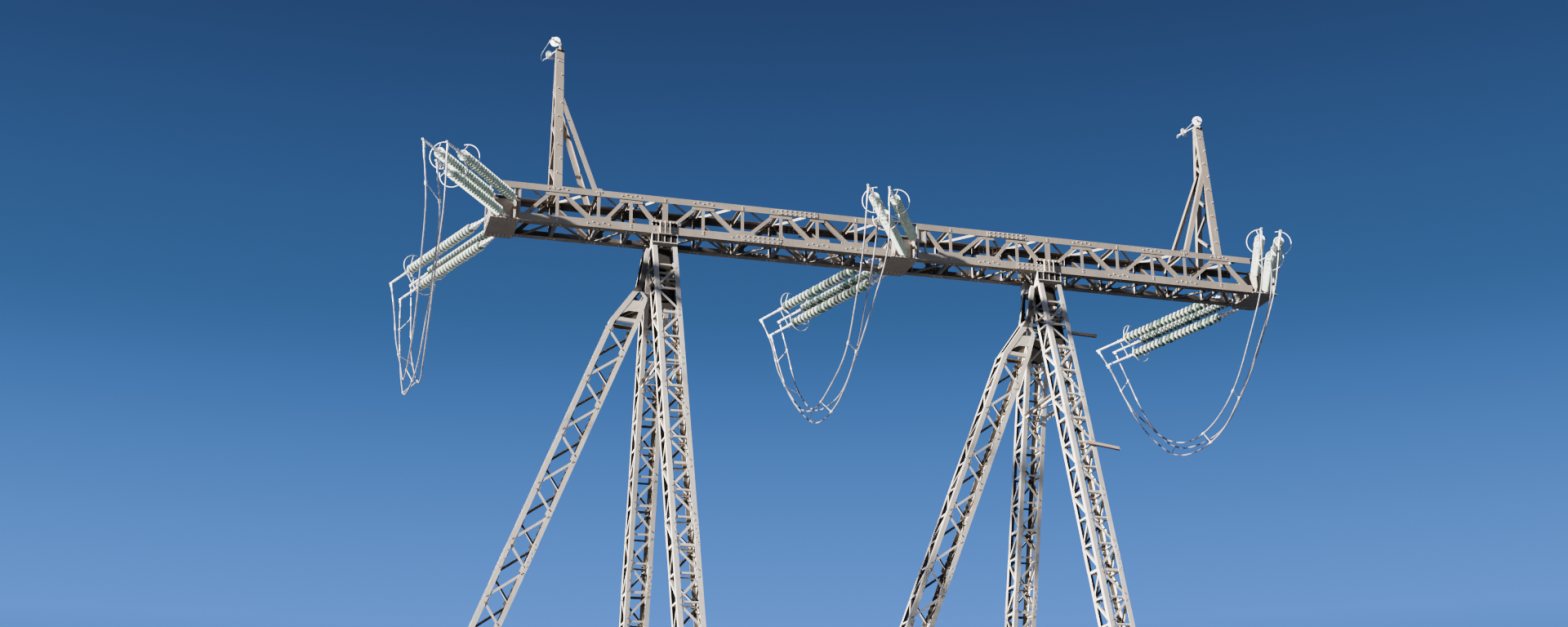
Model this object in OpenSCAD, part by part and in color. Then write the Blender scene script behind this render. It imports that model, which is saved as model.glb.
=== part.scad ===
// Lattice transmission pylon: an angle (strain) portal with a box-lattice beam on two
// three-legged lattice supports, two earth-wire peaks, dead-ended insulator strings on
// both sides of each phase box and hanging jumper loops.
// Millimetres, +Z up, X along the beam, ground at Z = 0, origin at the middle of the footprint.

/* [Beam] */
// Distance between the three phase boxes along the beam
phase_pitch = 10000; // [9600:50:10400]
// Height of the beam's underside above ground
beam_z = 19700; // [18500:50:21000]
// Outer height of the beam's box section
beam_h = 970; // [900:10:1050]
// Outer depth of the beam's box section
beam_d = 1110; // [1050:10:1200]
// How far the beam runs past an outer phase box's middle
beam_end = 340; // [300:10:450]
// Leg width of the top chord angles
top_chord_w = 160; // [140:5:180]
// Leg width of the bottom chord angles
bottom_chord_w = 200; // [160:5:220]
// Thickness of the chord angles
chord_t = 16; // [12:1:20]
// Leg width of the beam's diagonals
diagonal_w = 90; // [70:5:100]
// Leg width of the beam's posts
post_w = 80; // [60:5:90]

/* [Supports] */
// Middle of the left support, from the beam's middle
left_support_x = -6110; // [-6400:10:-5900]
// Outer side of a leg's square section
leg_w = 600; // [560:10:660]
// Leg width of a leg's corner angles
leg_chord_w = 110; // [90:5:130]
// Thickness of a leg's corner angles
leg_chord_t = 11; // [9:1:14]
// Sideways slope of the outer leg, per metre of drop
outer_slope = 400; // [360:5:430]
// Slope of the near and far legs away from the beam, per metre of drop
splay_slope = 292; // [270:1:310]
// Height of one zigzag panel on a side of a leg
leg_panel = 667; // [640:1:700]
// Leg width of a leg's bracing angles
leg_brace_w = 55; // [45:5:60]

/* [Peaks] */
// Height of an earth-wire peak above the beam
peak_h = 3930; // [3700:10:4200]
// Distance of a peak from the beam's middle
peak_x = 8745; // [8600:5:8800]
// Width of the broad leg of the peak's main angles
peak_w = 200; // [160:5:220]

/* [Insulators] */
// Discs in one string
disc_n = 22; // [18:1:22]
// Spacing of the discs
disc_pitch = 146; // [140:1:150]
// Diameter of a disc
disc_d = 255; // [240:5:280]
// Half the distance between the two upper strings
string_a = 258; // [250:2:270]

/* [Jumpers] */
// Diameter of a jumper cable
jumper_d = 36; // [30:1:40]

/* [Hidden] */
$fn = 24;

hd = beam_d / 2;
zb = beam_z;
zt = beam_z + beam_h;
xe = phase_pitch + beam_end;
right_support_x = left_support_x + phase_pitch;
steel = [0.74, 0.72, 0.68];
dark_steel = [0.45, 0.44, 0.42];
glass_green = [0.35, 0.5, 0.45];
alu = [0.8, 0.8, 0.82];

// ---- vector helpers
function unit(v) = v / norm(v);
function perp(n, a) = unit(n - (n * a) * a);

// puts children in a frame at P: local z along a, local x along n, local y = a x n
module on_frame(P, a, n) {
  e1 = perp(n, a);
  e2 = cross(a, e1);
  multmatrix([[e1[0], e2[0], a[0], P[0]], [e1[1], e2[1], a[1], P[1]], [e1[2], e2[2], a[2], P[2]], [0, 0, 0, 1]])
    children();
}

// corner angle from P to Q: the corner on the line, one leg along n, the other along s * (axis x n)
module corner_angle(P, Q, n, s, w, t) {
  on_frame(P, unit(Q - P), n) linear_extrude(norm(Q - P))
    polygon(s > 0 ? [[0, 0], [w, 0], [w, t], [t, t], [t, w], [0, w]]
                  : [[0, 0], [0, -w], [t, -w], [t, -t], [w, -t], [w, 0]]);
}

// bracing angle from P to Q, cut back c at each end: flat leg b wide across the line, its outer face
// o in from the line along n, the other leg standing inward
module brace(P, Q, n, o, b, t, c = 0) {
  u = unit(Q - P);
  on_frame(P + c * u, u, n) linear_extrude(norm(Q - P) - 2 * c)
    polygon([[o, -b / 2], [o + b, -b / 2], [o + b, -b / 2 + t], [o + t, -b / 2 + t], [o + t, b / 2], [o, b / 2]]);
}

// flat bar from P to Q, b wide, from o to o + t along n
module flat_bar(P, Q, n, o, b, t) {
  on_frame(P, unit(Q - P), n) translate([o, -b / 2, 0]) cube([t, b, norm(Q - P)]);
}

// round bar from P to Q
module rod(P, Q, d) {
  on_frame(P, unit(Q - P), abs(unit(Q - P)[2]) > 0.9 ? [1, 0, 0] : [0, 0, 1]) cylinder(d = d, h = norm(Q - P));
}

// ---- beam
// panel points along the beam, left to right, with the box edges at both ends
pan = [-phase_pitch + 450, -8745, -7745, -6950, left_support_x, -5160, -4170, -3190, -2255, -1255, -480,
       480, 1255, 2255, 3050, right_support_x, 4840, 5830, 6810, 7745, 8745, phase_pitch - 450];
// 1 where the lattice's node is on the top chord, 0 on the bottom chord
up = [0, 1, 0, 1, 0, 1, 0, 1, 0, 0, 1, 1, 0, 0, 1, 0, 1, 0, 1, 0, 1, 0];

// the upright legs of the chords stop at the phase boxes; only the level legs run through
spans = [[-phase_pitch + 350, -330], [360, phase_pitch - 350]];
top_spans = [[-phase_pitch - 60, -330], [360, phase_pitch - 350]];

module beam_chord(side, top) {
  w = top ? top_chord_w : bottom_chord_w;
  n = [0, 0, top ? -1 : 1];
  z = top ? zt : zb;
  // axis x n = (1,0,0) x (0,0,-1) = +y
  s = (top ? 1 : -1) * (side < 0 ? 1 : -1);
  color(steel) union() {
    for (q = top ? top_spans : spans) corner_angle([q[0], side * hd, z], [q[1], side * hd, z], n, s, w, chord_t);
    translate([-xe, side < 0 ? -hd + 2 : hd - w + 2, top ? zt - chord_t + 2 : zb + 2]) cube([2 * xe, w - 4, chord_t - 4]);
    // splice covers over the joints of the chord's lengths
    for (x = top ? [-2750, 2750] : [-3700, 3500])
      translate([x - 500, side < 0 ? -hd - 9 : hd - 2, top ? zt - w + 6 : zb + 6]) cube([1000, 11, w - 12]);
  }
}

module gusset(x, side, top, len, drop) {
  w = top ? top_chord_w : bottom_chord_w;
  y0 = side < 0 ? -hd + chord_t - 2 : hd - chord_t + 2 - 12;
  z0 = top ? zt - w - drop : zb + w - 70;
  translate([x - len / 2, y0, z0]) cube([len, 12, drop + 70]);
}

module beam_face(side) {
  n = [0, -side, 0];
  o = chord_t + 8;
  color(steel) union() {
    for (i = [1:20]) if (i != 10 && i != 11) {
      brace([pan[i], side * hd, zb + 60], [pan[i], side * hd, zt - 60], n, chord_t - 2, post_w, 8);
      gusset(pan[i], side, up[i] == 1, up[i] == 1 ? 560 : 620, 90);
      if (i == 9 || i == 12) gusset(pan[i] + (i == 9 ? -1000 : 1000), side, true, 360, 80);
    }
    for (i = [0:20]) if (i != 10) {
      a = up[i];
      b = up[i + 1];
      fl = a == b;
      za = (i == 8 || i == 12) ? (i == 8 ? 1 : 0) : a;
      zc = (i == 8 || i == 12) ? (i == 8 ? 0 : 1) : b;
      ca = za == 1 ? zt - 130 : zb + 150;
      cb = zc == 1 ? zt - 130 : zb + 150;
      brace([pan[i] + (i == 0 ? 20 : 110), side * hd, ca], [pan[i + 1] - (i == 20 ? 20 : 110), side * hd, cb], n, o, diagonal_w, 8);
    }
  }
}

module beam_flat(top) {
  n = [0, 0, top ? -1 : 1];
  z = top ? zt : zb;
  ym = hd - 75;
  color(steel) union() {
    for (i = [1:20]) if (i != 10 && i != 11)
      brace([pan[i], -ym, z], [pan[i], ym, z], n, chord_t - 2, post_w, 7);
    for (i = [0:20]) if (i != 10) {
      k = (i + (i > 10 ? 1 : 0)) % 2 == 0 ? 1 : -1;
      d = top ? k : -k;
      brace([pan[i] + 70, -d * ym, z], [pan[i + 1] - 70, d * ym, z], n, chord_t - 2, 65, 7);
    }
  }
}

// ---- phase boxes: a bottom plate under the chords, two upright plates across the beam that carry the
// upper strings at their ends, a low one for the lower strings, cross webs and a cover
module plate_yz(x, t, pts) {
  translate([x - t / 2, 0, 0]) rotate([90, 0, 90]) linear_extrude(t) polygon(pts);
}
module phase_box(p) {
  e = p - 1;
  lo = e < 0 ? -beam_end + 4 : -360;
  hi = e > 0 ? beam_end - 4 : 360;
  color(dark_steel) translate([px(p), 0, 0]) {
    union() {
      translate([0, 0, zb - 14]) linear_extrude(14)
        polygon([[lo, -620], [hi, -620], [hi, 580], [hi - 80, 660], [lo + 80, 660], [lo, 580]]);
      for (m = [-1, 1]) plate_yz(m * string_a, 20,
        [[-540, zb - 6], [600, zb - 6], [700, zb + 380], [700, zb + 540], [640, zb + 600], [-600, zb + 600], [-660, zb + 540], [-660, zb + 120]]);
      plate_yz(0, 20, [[-560, zb - 6], [600, zb - 6], [700, zb + 30], [700, zb + 86], [660, zb + 110], [-620, zb + 110], [-660, zb + 86], [-660, zb + 30]]);
      for (y = [-440, 450]) translate([-string_a, y, zb - 6]) cube([2 * string_a, 12, 560]);
      translate([-300, -540, zb + 588]) cube([600, 1100, 14]);
    }
    // posts beside the box, between the chords
    for (s = [-1, 1]) if (e <= 0) {
      xa = e < 0 ? 211 : 360;
      xb = e < 0 ? 333 : 560;
      corner_angle([xa, s * (hd - chord_t), zb + chord_t], [xa, s * (hd - chord_t), zt - chord_t], [1, 0, 0], -s, e < 0 ? 34 : 52, 8);
      corner_angle([xb, s * (hd - chord_t), zb + chord_t], [xb, s * (hd - chord_t), zt - chord_t], [1, 0, 0], -s, 46, 7);
      // web plate between the two, set back from their faces
      translate([xa + 3.5, s < 0 ? -hd + chord_t + 21.5 : hd - chord_t - 27.5, e < 0 ? zb + chord_t + 9.3 : zb + 470]) cube([xb - xa, 6, e < 0 ? beam_h - 2 * chord_t - 19 : beam_h - 470 - chord_t - 9.7]);
    }
    else corner_angle([-150, s * (hd - chord_t), zb + chord_t], [-150, s * (hd - chord_t), zt - chord_t], [1, 0, 0], -s, 50, 6);
    // end frame: two uprights, two cross pieces and a diagonal over the beam's open end
    if (e != 0) translate([e > 0 ? beam_end - 14 : -beam_end, 0, 0]) union() {
      for (s = [-1, 1]) translate([0, s * (hd - 70) - 45, zb + chord_t]) cube([14, 90, beam_h - 2 * chord_t]);
      for (z = [zb + 60, zt - 160]) translate([1, -hd + 60, z]) cube([12, beam_d - 120, 100]);
      flat_bar([7, -hd + 90, zb + 120], [7, hd - 90, zt - 110], [1, 0, 0], -4, 80, 8);
    }
  }
}

// ---- supports
head_z = zb - 240;         // underside of the bearings
tie_z = 18420 + zb - 19700; // level of the tie bars at the top of the near and far legs
frame_z = 16300 + zb - 19700; // level of the frame that joins the near and far legs
inner_z = 19150 + zb - 19700; // where the near and far legs' inner corners end
kink_z = 17550 + zb - 19700; // where the outer leg's outer corners turn in to the head
sk = splay_slope / 1000;
ok = outer_slope / 1000;
splay_run = leg_w * sqrt(1 + sk * sk);   // a leg's depth measured level
outer_run = leg_w * sqrt(1 + ok * ok);

// level position of a splayed leg's outer corner line at height z (as a positive distance)
function splay_y(z) = hd + 20 + sk * (head_z - z);
function outer_x(z) = -50 - ok * (head_z - z);
function lean_x(z) = 0.012 * (head_z - z);

shoe_z = 1500;    // where the near and far legs start to taper to their shoes
outer_shoe_z = 1300;
tip = 150;        // half width of a leg at its shoe

// the point at height z on the line from M up to T
function at_z(T, M, z) = M + (T - M) * ((z - M[2]) / (T[2] - M[2]));

// a leg from four corner lines: T = top corners, M = corners where the taper starts, F = corners at the
// shoe, in order round the section; ph picks the corner of the first zigzag node
module leg_body(T, M, F, ph) {
  ctr_t = (T[0] + T[1] + T[2] + T[3]) / 4;
  zs = M[0][2];
  n = floor((min([for (q = T) q[2]]) - 150 - zs) / leg_panel);
  for (i = [0:3]) {
    j = (i + 1) % 4;
    h = (i + 3) % 4;
    a = unit(M[i] - T[i]);
    n1 = perp(T[j] - T[i], a);
    s = cross(a, n1) * (T[h] - T[i]) > 0 ? 1 : -1;
    corner_angle(T[i], M[i], n1, s, leg_chord_w, leg_chord_t);
    a2 = unit(F[i] - M[i]);
    n2 = perp(M[j] - M[i], a2);
    s2 = cross(a2, n2) * (M[h] - M[i]) > 0 ? 1 : -1;
    corner_angle(M[i], F[i], n2, s2, leg_chord_w - 4, leg_chord_t - 2);
    // the face between corners i and j
    nf = unit(cross(M[i] - T[i], T[j] - T[i]));
    nn = nf * (ctr_t - T[i]) > 0 ? nf : -nf;
    for (k = [0:n - 1]) {
      b = (k + i + ph) % 2 == 1;
      c = (k + j + ph) % 2 == 1;
      P = at_z(b ? T[i] : T[j], b ? M[i] : M[j], zs + k * leg_panel);
      Q = at_z(b ? T[j] : T[i], b ? M[j] : M[i], zs + (k + 1) * leg_panel);
      brace(P, Q, nn, leg_chord_t - 2, leg_brace_w, 6, 78);
    }
    brace(M[i], M[j], nn, leg_chord_t - 2, leg_brace_w, 6, 70);
  }
}

// near (s = -1) and far (s = 1) legs
module splay_leg(x0, s) {
  zT = head_z - 20;
  w = leg_w / 2;
  yi = splay_y(inner_z) - splay_run;
  T = [[x0 - w, s * splay_y(zT), zT], [x0 + w, s * splay_y(zT), zT],
       [x0 + w + lean_x(inner_z), s * yi, inner_z], [x0 - w + lean_x(inner_z), s * yi, inner_z]];
  yM = splay_y(shoe_z);
  xM = x0 + lean_x(shoe_z);
  M = [[xM - w, s * yM, shoe_z], [xM + w, s * yM, shoe_z],
       [xM + w, s * (yM - splay_run), shoe_z], [xM - w, s * (yM - splay_run), shoe_z]];
  xF = x0 + lean_x(0);
  yF = splay_y(60) - splay_run / 2;
  F = [[xF - tip, s * (yF + tip), 60], [xF + tip, s * (yF + tip), 60],
       [xF + tip, s * (yF - tip), 60], [xF - tip, s * (yF - tip), 60]];
  color(steel) union() leg_body(T, M, F, 0);
}

// outer leg, leaning in along the beam's line
module outer_leg(x0) {
  w = leg_w / 2;
  xk = x0 + outer_x(kink_z);
  T = [[xk - outer_run / 2 - 70, -w, kink_z], [xk - outer_run / 2 - 70, w, kink_z],
       [xk + outer_run / 2, w, kink_z], [xk + outer_run / 2, -w, kink_z]];
  xM = x0 + outer_x(outer_shoe_z);
  M = [[xM - outer_run / 2, -w, outer_shoe_z], [xM - outer_run / 2, w, outer_shoe_z],
       [xM + outer_run / 2, w, outer_shoe_z], [xM + outer_run / 2, -w, outer_shoe_z]];
  xF = x0 + outer_x(60);
  F = [[xF - tip, -tip, 60], [xF - tip, tip, 60], [xF + tip, tip, 60], [xF + tip, -tip, 60]];
  color(steel) union() {
    leg_body(T, M, F, 1);
    // tapered top: the outer corners bend in twice, the inner ones run on to the head
    for (s = [-1, 1]) {
      yo = s * (w - 3);
      A = [T[0][0] + 3, yo, kink_z];
      B = [x0 - 550, yo, kink_z + 930];
      B2 = [x0 - 400, yo, kink_z + 1850];
      C = [T[2][0] - 3, yo, kink_z];
      D = [x0 - 345, yo, kink_z + 520];
      corner_angle(A - 70 * unit(B - A), B + 30 * unit(B - A), [1, 0, 0], -s, leg_chord_w + 16, leg_chord_t);
      corner_angle(B - 45 * unit(B2 - B) + [4, -4 * s, 0], B2 + [4, -4 * s, 0], [1, 0, 0], -s, leg_chord_w - 8, leg_chord_t - 2);
      corner_angle(C - 60 * unit(D - C), D, [-1, 0, 0], s, leg_chord_w - 4, leg_chord_t - 2);
      nn = [0, -s, 0];
      yb = s * w;
      brace([A[0], yb, kink_z + 20], [D[0], yb, D[2] - 60], nn, leg_chord_t - 1.6, leg_brace_w, 6, 80);
      brace([A[0], yb, kink_z - 10], [C[0], yb, kink_z - 60], nn, leg_chord_t - 0.7, 90, 6, 90);
      brace([B[0] - 60, yb, B[2] - 90], [x0 - 330, yb, D[2] - 20], nn, leg_chord_t - 2.4, leg_brace_w, 6, 50);
      brace([B[0], yb, B[2]], [x0 - 330, yb, B[2] + 420], nn, leg_chord_t + 1.2, leg_brace_w, 6, 60);
    }
    brace([x0 - 571, -w, kink_z + 900], [x0 - 571, w, kink_z + 900], [1, 0, 0], leg_chord_t - 2, leg_brace_w, 6, 60);
    brace([T[0][0] - 8, -w, kink_z - 20], [T[0][0] - 8, w, kink_z - 20], [1, 0, 0], leg_chord_t - 2, leg_brace_w, 6, 60);
    brace([x0 - 404, -w, kink_z + 1800], [x0 - 404, w, kink_z + 1800], [1, 0, 0], leg_chord_t - 4, leg_brace_w, 6, 60);
  }
}

// head: bearings under both bottom chords, cap beams, inner webs and the tie bars of the near and far legs
module head(x0) {
  w = leg_w / 2;
  color(steel) {
    union() {
      for (s = [-1, 1]) {
        y1 = s < 0 ? -hd - 22 : hd + 22 - 260;
        translate([x0 - 320, y1, zb - 22]) cube([640, 260, 22]);
        translate([x0 - 320, y1, head_z]) cube([640, 260, 24]);
        for (i = [0:4]) translate([x0 - 320 + i * 155, y1 + 6, head_z + 20]) cube([20, 248, 202]);
        translate([x0 - 310, s < 0 ? y1 + 200 : y1 + 40, head_z + 18]) cube([620, 18, 204]);
        // ribs against the chord's face
        for (i = [-1, 0, 1]) translate([x0 + i * 120 - 10, s < 0 ? -hd - 62 : hd - 2, zb - 4]) cube([20, 64, 330]);
        translate([x0 - 160, s < 0 ? -hd - 70 : hd - 2, zb - 20]) cube([320, 72, 18]);
      }
      // cap beams joining both bearings, and webs down to the inner corners
      for (i = [-1, 1]) {
        translate([x0 + i * 250 - 60, -hd, head_z - 118]) cube([120, beam_d, 120]);
        translate([x0 + i * 272 - 7, -210, head_z - 640]) cube([14, 420, 540]);
      }
    }
    // tie bars: along both sides, across the inner corners, and one slanting bar that shows from below
    for (s = [-1, 1]) {
      yo = s * (splay_y(tie_z) - 7);
      yi = s * (splay_y(tie_z) - splay_run + 8);
      union() {
        for (i = [-1, 1]) flat_bar([x0 + i * (w - 20), yo, tie_z], [x0 + i * (w - 20), yi, tie_z], [0, 0, 1], -8, 80, 16);
        flat_bar([x0 - w + 30, yi + s * 20, tie_z], [x0 + w - 10, yi + s * 20, tie_z], [0, 0, 1], -6, 80, 12);
        flat_bar([x0 - w + 30, yo - s * 30, tie_z], [x0 + w - 10, yo - s * 30, tie_z], [0, 0, 1], -6, 70, 12);
        flat_bar([x0 - w + 30, yo - s * 20, tie_z], [x0 + w - 20, yi + s * 30, tie_z], [0, 0, 1], -5, 70, 10);
      }
    }
  }
}

// level frame that joins the near and far legs' inner corners, and on the right support two side arms
module tie_frame(x0, arms) {
  w = leg_w / 2 - 8;
  xl = x0 + lean_x(frame_z) - w;
  xr = x0 + lean_x(frame_z) + w;
  y = splay_y(frame_z) - splay_run + 8;
  color(steel) {
    union() {
      for (x = [xl, xr]) brace([x, -y, frame_z], [x, y, frame_z], [0, 0, -1], -4, 90, 8);
      for (s = [-1, 1]) flat_bar([xl + 5, s * (y - 31), frame_z], [xr - 5, s * (y - 31), frame_z], [0, 0, -1], -2.4, 88, 8);
      flat_bar([xl + 12, y - 44, frame_z], [xr - 12, -y + 44, frame_z], [0, 0, -1], -1.2, 70, 6);
    }
    if (arms) {
      za = frame_z + 1650;
      ya = -splay_y(za) + 10;
      brace([x0 + w - 80, ya, za], [x0 + 1010, ya, za - 30], [0, 1, 0], 0, 70, 7);
      zc = frame_z - 1500;
      yc = -splay_y(zc) + 10;
      // the lower one passes in front of the leg's right chord
      brace([x0 + 968, yc - 9.5, zc - 88], [x0 + 88, yc - 9.5, zc + 22], [0, -1, 0], 0, 96, 10);
    }
  }
}

// ---- shoes: base plate with four anchor holes and two crossed stiffeners
module shoe(x, y) {
  color(dark_steel) translate([x, y, 0]) union() {
    difference() {
      translate([-310, -310, 0]) cube([620, 620, 40]);
      for (a = [-1, 1]) for (b = [-1, 1]) translate([a * 240, b * 240, -1]) cylinder(d = 42, h = 42);
    }
    translate([-12, -230, 36]) cube([24, 460, 300]);
    translate([-230, -12, 36]) cube([460, 24, 300]);
  }
}
function near_foot_y() = splay_y(60) - splay_run / 2;

// ---- earth-wire peaks
// angle with unequal legs: the broad leg wa along n, the other wb along s * (axis x n)
module uneven_angle(P, Q, n, s, wa, wb, t) {
  on_frame(P, unit(Q - P), n) linear_extrude(norm(Q - P))
    polygon(s > 0 ? [[0, 0], [wa, 0], [wa, t], [t, t], [t, wb], [0, wb]]
                  : [[0, 0], [0, -wb], [t, -wb], [t, -t], [wa, -t], [wa, 0]]);
}
// heights above the beam where the lacing meets the main angles, front and rear in turn
lace_z = [130, 830, 1380, 1930, 2430, 2830, 3230, 3560];
module peak(m) {
  x = m * peak_x;
  za = zt + peak_h;
  zs = zt + 2680;
  y_foot = hd;
  y_top = 75;
  z_foot = zt - 130;
  color(steel) union() {
    for (s = [-1, 1]) {
      xa = x - peak_w / 2 + (s < 0 ? 0 : 4);
      uneven_angle([xa, s * y_foot, z_foot], [xa, s * y_top, za], [1, 0, 0], -s, peak_w, 110, 12);
      // strut to the inner side
      zq = zs - (s < 0 ? 0 : 120);
      ys = y_foot - (y_foot - y_top) * (zq - z_foot) / (za - z_foot);
      corner_angle([x - m * 1000, s * (hd - 6), zt - 90], [x - m * 60, s * (ys - 5), zq], [m, 0, 0], -m * s, 120, 10);
    }
    // lacing between the two main angles
    for (i = [0:6]) {
      z0 = zt + lace_z[i];
      z1 = zt + lace_z[i + 1];
      e = i % 2 == 0 ? 1 : -1;
      brace([x - peak_w / 2, -e * (y_foot - (y_foot - y_top) * (z0 - z_foot) / (za - z_foot) - 40), z0],
            [x - peak_w / 2, e * (y_foot - (y_foot - y_top) * (z1 - z_foot) / (za - z_foot) - 40), z1], [1, 0, 0], 8.4 + (i % 2) * 1.3, 60, 6, 4 + (i % 2) * 3);
    }
    // cap plates with the earth-wire lugs
    translate([x - 90, -140, za - 50]) cube([180, 280, 20]);
    translate([x - 12, -160, za - 70]) cube([24, 320, 200]);
  }
}

// ---- insulator strings: upper left, upper right and lower (k = 0, 1, 2) on each side of a phase box
// heading out of square and droop, in degrees, for the left, centre and right phase
near_az = [28, 26.8, 27];
near_el = [6.2, 5.7, 5.9];
far_az = [22, 21.7, 21.2];
far_el = [1.9, 3, 3.2];
function px(p) = (p - 1) * phase_pitch;
function heading(s, az, el) = [-sin(az) * cos(el), s * cos(az) * cos(el), -sin(el)];
function dir(p, s) = s < 0 ? heading(s, near_az[p], near_el[p]) : heading(s, far_az[p], far_el[p]);
// start of the links at the phase box
function lug(p, s, k) = [px(p) + (k == 0 ? -string_a : k == 1 ? string_a : 0), s * (s < 0 ? 608 : 650), zb + (k == 2 ? 54 : 484)];
function link(s, k) = s < 0 ? (k == 2 ? 310 : 250) : (k == 2 ? 770 : 760);
function disc0(p, s, k) = lug(p, s, k) + link(s, k) * dir(p, s);
function disc1(p, s, k) = disc0(p, s, k) + disc_n * disc_pitch * dir(p, s);
// where the jumper leaves the clamp
function arm(s, k) = s < 0 ? (k == 2 ? 680 : 870) : (k == 2 ? 1040 : 1075);
function terminal(p, s, k) = disc1(p, s, k) + arm(s, k) * dir(p, s);

module disc_string(P, a, n) {
  r = disc_d / 2;
  on_frame(P, a, [0, 0, 1]) rotate_extrude($fn = 24)
    polygon(concat([[0, 0]],
      [for (i = [0:n - 1]) each [[48, i * disc_pitch], [48, i * disc_pitch + 62], [r, i * disc_pitch + 92], [r, i * disc_pitch + 106], [30, i * disc_pitch + 112], [30, (i + 1) * disc_pitch - 1]]],
      [[0, n * disc_pitch - 1]]));
}
module strings(p) {
  color(glass_green) for (s = [-1, 1]) for (k = [0:2]) disc_string(disc0(p, s, k), dir(p, s), disc_n);
}

// dead-end fittings: links to the phase box, and at the line end a clamp with a socket for the conductor,
// an arcing ring and the lug of the jumper
socket_d = 32;
socket_l = 120;
mouth = 60;
ring_back = 240;
// local x of the frame is up; local y = a x up
function ring_turn(s, k) = k == 2 ? 180 : (k == 0 ? 1 : -1) * (s < 0 ? 90 : -90);
module fitting(p, s, k) {
  a = dir(p, s);
  P0 = lug(p, s, k);
  D0 = disc0(p, s, k);
  D1 = disc1(p, s, k);
  T = terminal(p, s, k);
  u = lead(p, s, k);
  // shackle and links between the phase box and the first disc
  rod(P0 - 30 * a, P0 + 90 * a, 64);
  rod(P0 + 70 * a, D0 + 20 * a, 40);
  difference() {
    union() {
      rod(D1 - 20 * a, D1 + 140 * a, 50);
      rod(D1 + 120 * a, D1 + 330 * a, 30);
      rod(D1 + 300 * a, T + mouth * a, 52);
      rod(T, T + 260 * u, 44);
      // arcing ring: an open ring round the string's last discs, on two arms that slant back to it
      on_frame(D1, a, [0, 0, 1]) {
        translate([0, 0, -ring_back]) rotate([0, 0, ring_turn(s, k) - 100])
          rotate_extrude(angle = 200) translate([310, 0]) circle(d = 22, $fn = 16);
        for (g = [-80, 80]) rod([0, 0, 60], [310 * cos(ring_turn(s, k) + g), 310 * sin(ring_turn(s, k) + g), -ring_back], 24);
      }
    }
    rod(T + (mouth - socket_l) * a, T + (mouth + 5) * a, socket_d);
  }
}
module fittings(p) {
  color(alu) {
    for (k = [0:2]) fitting(p, -1, k);
    fitting(p, 1, 1);
    // a bar joins the upper left and the lower clamp of the far side
    union() {
      fitting(p, 1, 0);
      fitting(p, 1, 2);
      A = disc1(p, 1, 0) + 215 * dir(p, 1);
      B = disc1(p, 1, 2) + 245 * dir(p, 1);
      rod(A + 45 * unit(A - B), B + 60 * unit(B - A), 26);
    }
  }
}

// ---- jumper cables: tubes swept along hand-set route points between the near and far clamp of a string
// for each phase: X from its middle, Y, and Z with the beam's underside at 19700
route = [
  [[[-2125, -4055, 18455], [-2085, -3235, 17395], [-2055, -2210, 16470], [-2040, -1010, 15950], [-2015, 240, 15840],
    [-1985, 1440, 16175], [-1980, 2565, 16925], [-2040, 3635, 17845], [-2075, 4470, 18885]],
   [[-1735, -4050, 18390], [-1755, -3160, 17325], [-1745, -2090, 16455], [-1705, -860, 15950], [-1635, 435, 15915],
    [-1595, 1660, 16175], [-1620, 2750, 16790], [-1650, 3740, 17660], [-1645, 4480, 18775]],
   [[-1790, -3840, 18190], [-1805, -3065, 17210], [-1820, -2110, 16350], [-1850, -1030, 15715], [-1905, 205, 15555],
    [-1930, 1440, 15785], [-1930, 2530, 16470], [-1920, 3540, 17370], [-1920, 4410, 18420]]],
  [[[-2205, -4035, 18445], [-2155, -3220, 17395], [-2100, -2210, 16485], [-2135, -995, 15985], [-2120, 260, 15850],
    [-2100, 1460, 16165], [-2100, 2585, 16920], [-2105, 3640, 17860], [-2075, 4455, 18925]],
   [[-1640, -4080, 18400], [-1735, -3180, 17350], [-1795, -2090, 16490], [-1765, -860, 15990], [-1740, 430, 15990],
    [-1715, 1665, 16250], [-1690, 2760, 16835], [-1645, 3740, 17680], [-1635, 4475, 18785]],
   [[-1910, -3795, 18160], [-1905, -3030, 17185], [-1860, -2095, 16345], [-1880, -1030, 15740], [-1880, 190, 15600],
    [-1840, 1400, 15840], [-1895, 2505, 16515], [-1925, 3530, 17390], [-1910, 4405, 18425]]],
  [[[-2130, -4080, 18465], [-2105, -3250, 17395], [-2055, -2220, 16445], [-2025, -1010, 15895], [-2030, 260, 15770],
    [-2050, 1465, 16110], [-2075, 2600, 16875], [-2100, 3660, 17820], [-2085, 4470, 18890]],
   [[-1755, -4025, 18365], [-1770, -3135, 17280], [-1750, -2065, 16385], [-1675, -845, 15830], [-1650, 470, 15775],
    [-1645, 1715, 16015], [-1620, 2800, 16645], [-1595, 3755, 17590], [-1630, 4485, 18745]],
   [[-1800, -3830, 18135], [-1820, -3055, 17165], [-1825, -2100, 16320], [-1840, -1030, 15680], [-1875, 210, 15510],
    [-1890, 1445, 15725], [-1925, 2545, 16415], [-1920, 3550, 17330], [-1900, 4410, 18405]]]];
function stop(p, k, i) = route[p][k][i] + [px(p), 0, zb - 19700];
function lead(p, s, k) = unit(stop(p, k, s < 0 ? 0 : 8) - terminal(p, s, k));
// the cable starts a little inside the clamp's lug
function jumper_path(p, k) = concat([terminal(p, -1, k) + 220 * lead(p, -1, k)], [for (i = [0:8]) stop(p, k, i)], [terminal(p, 1, k) + 220 * lead(p, 1, k)]);

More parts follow.
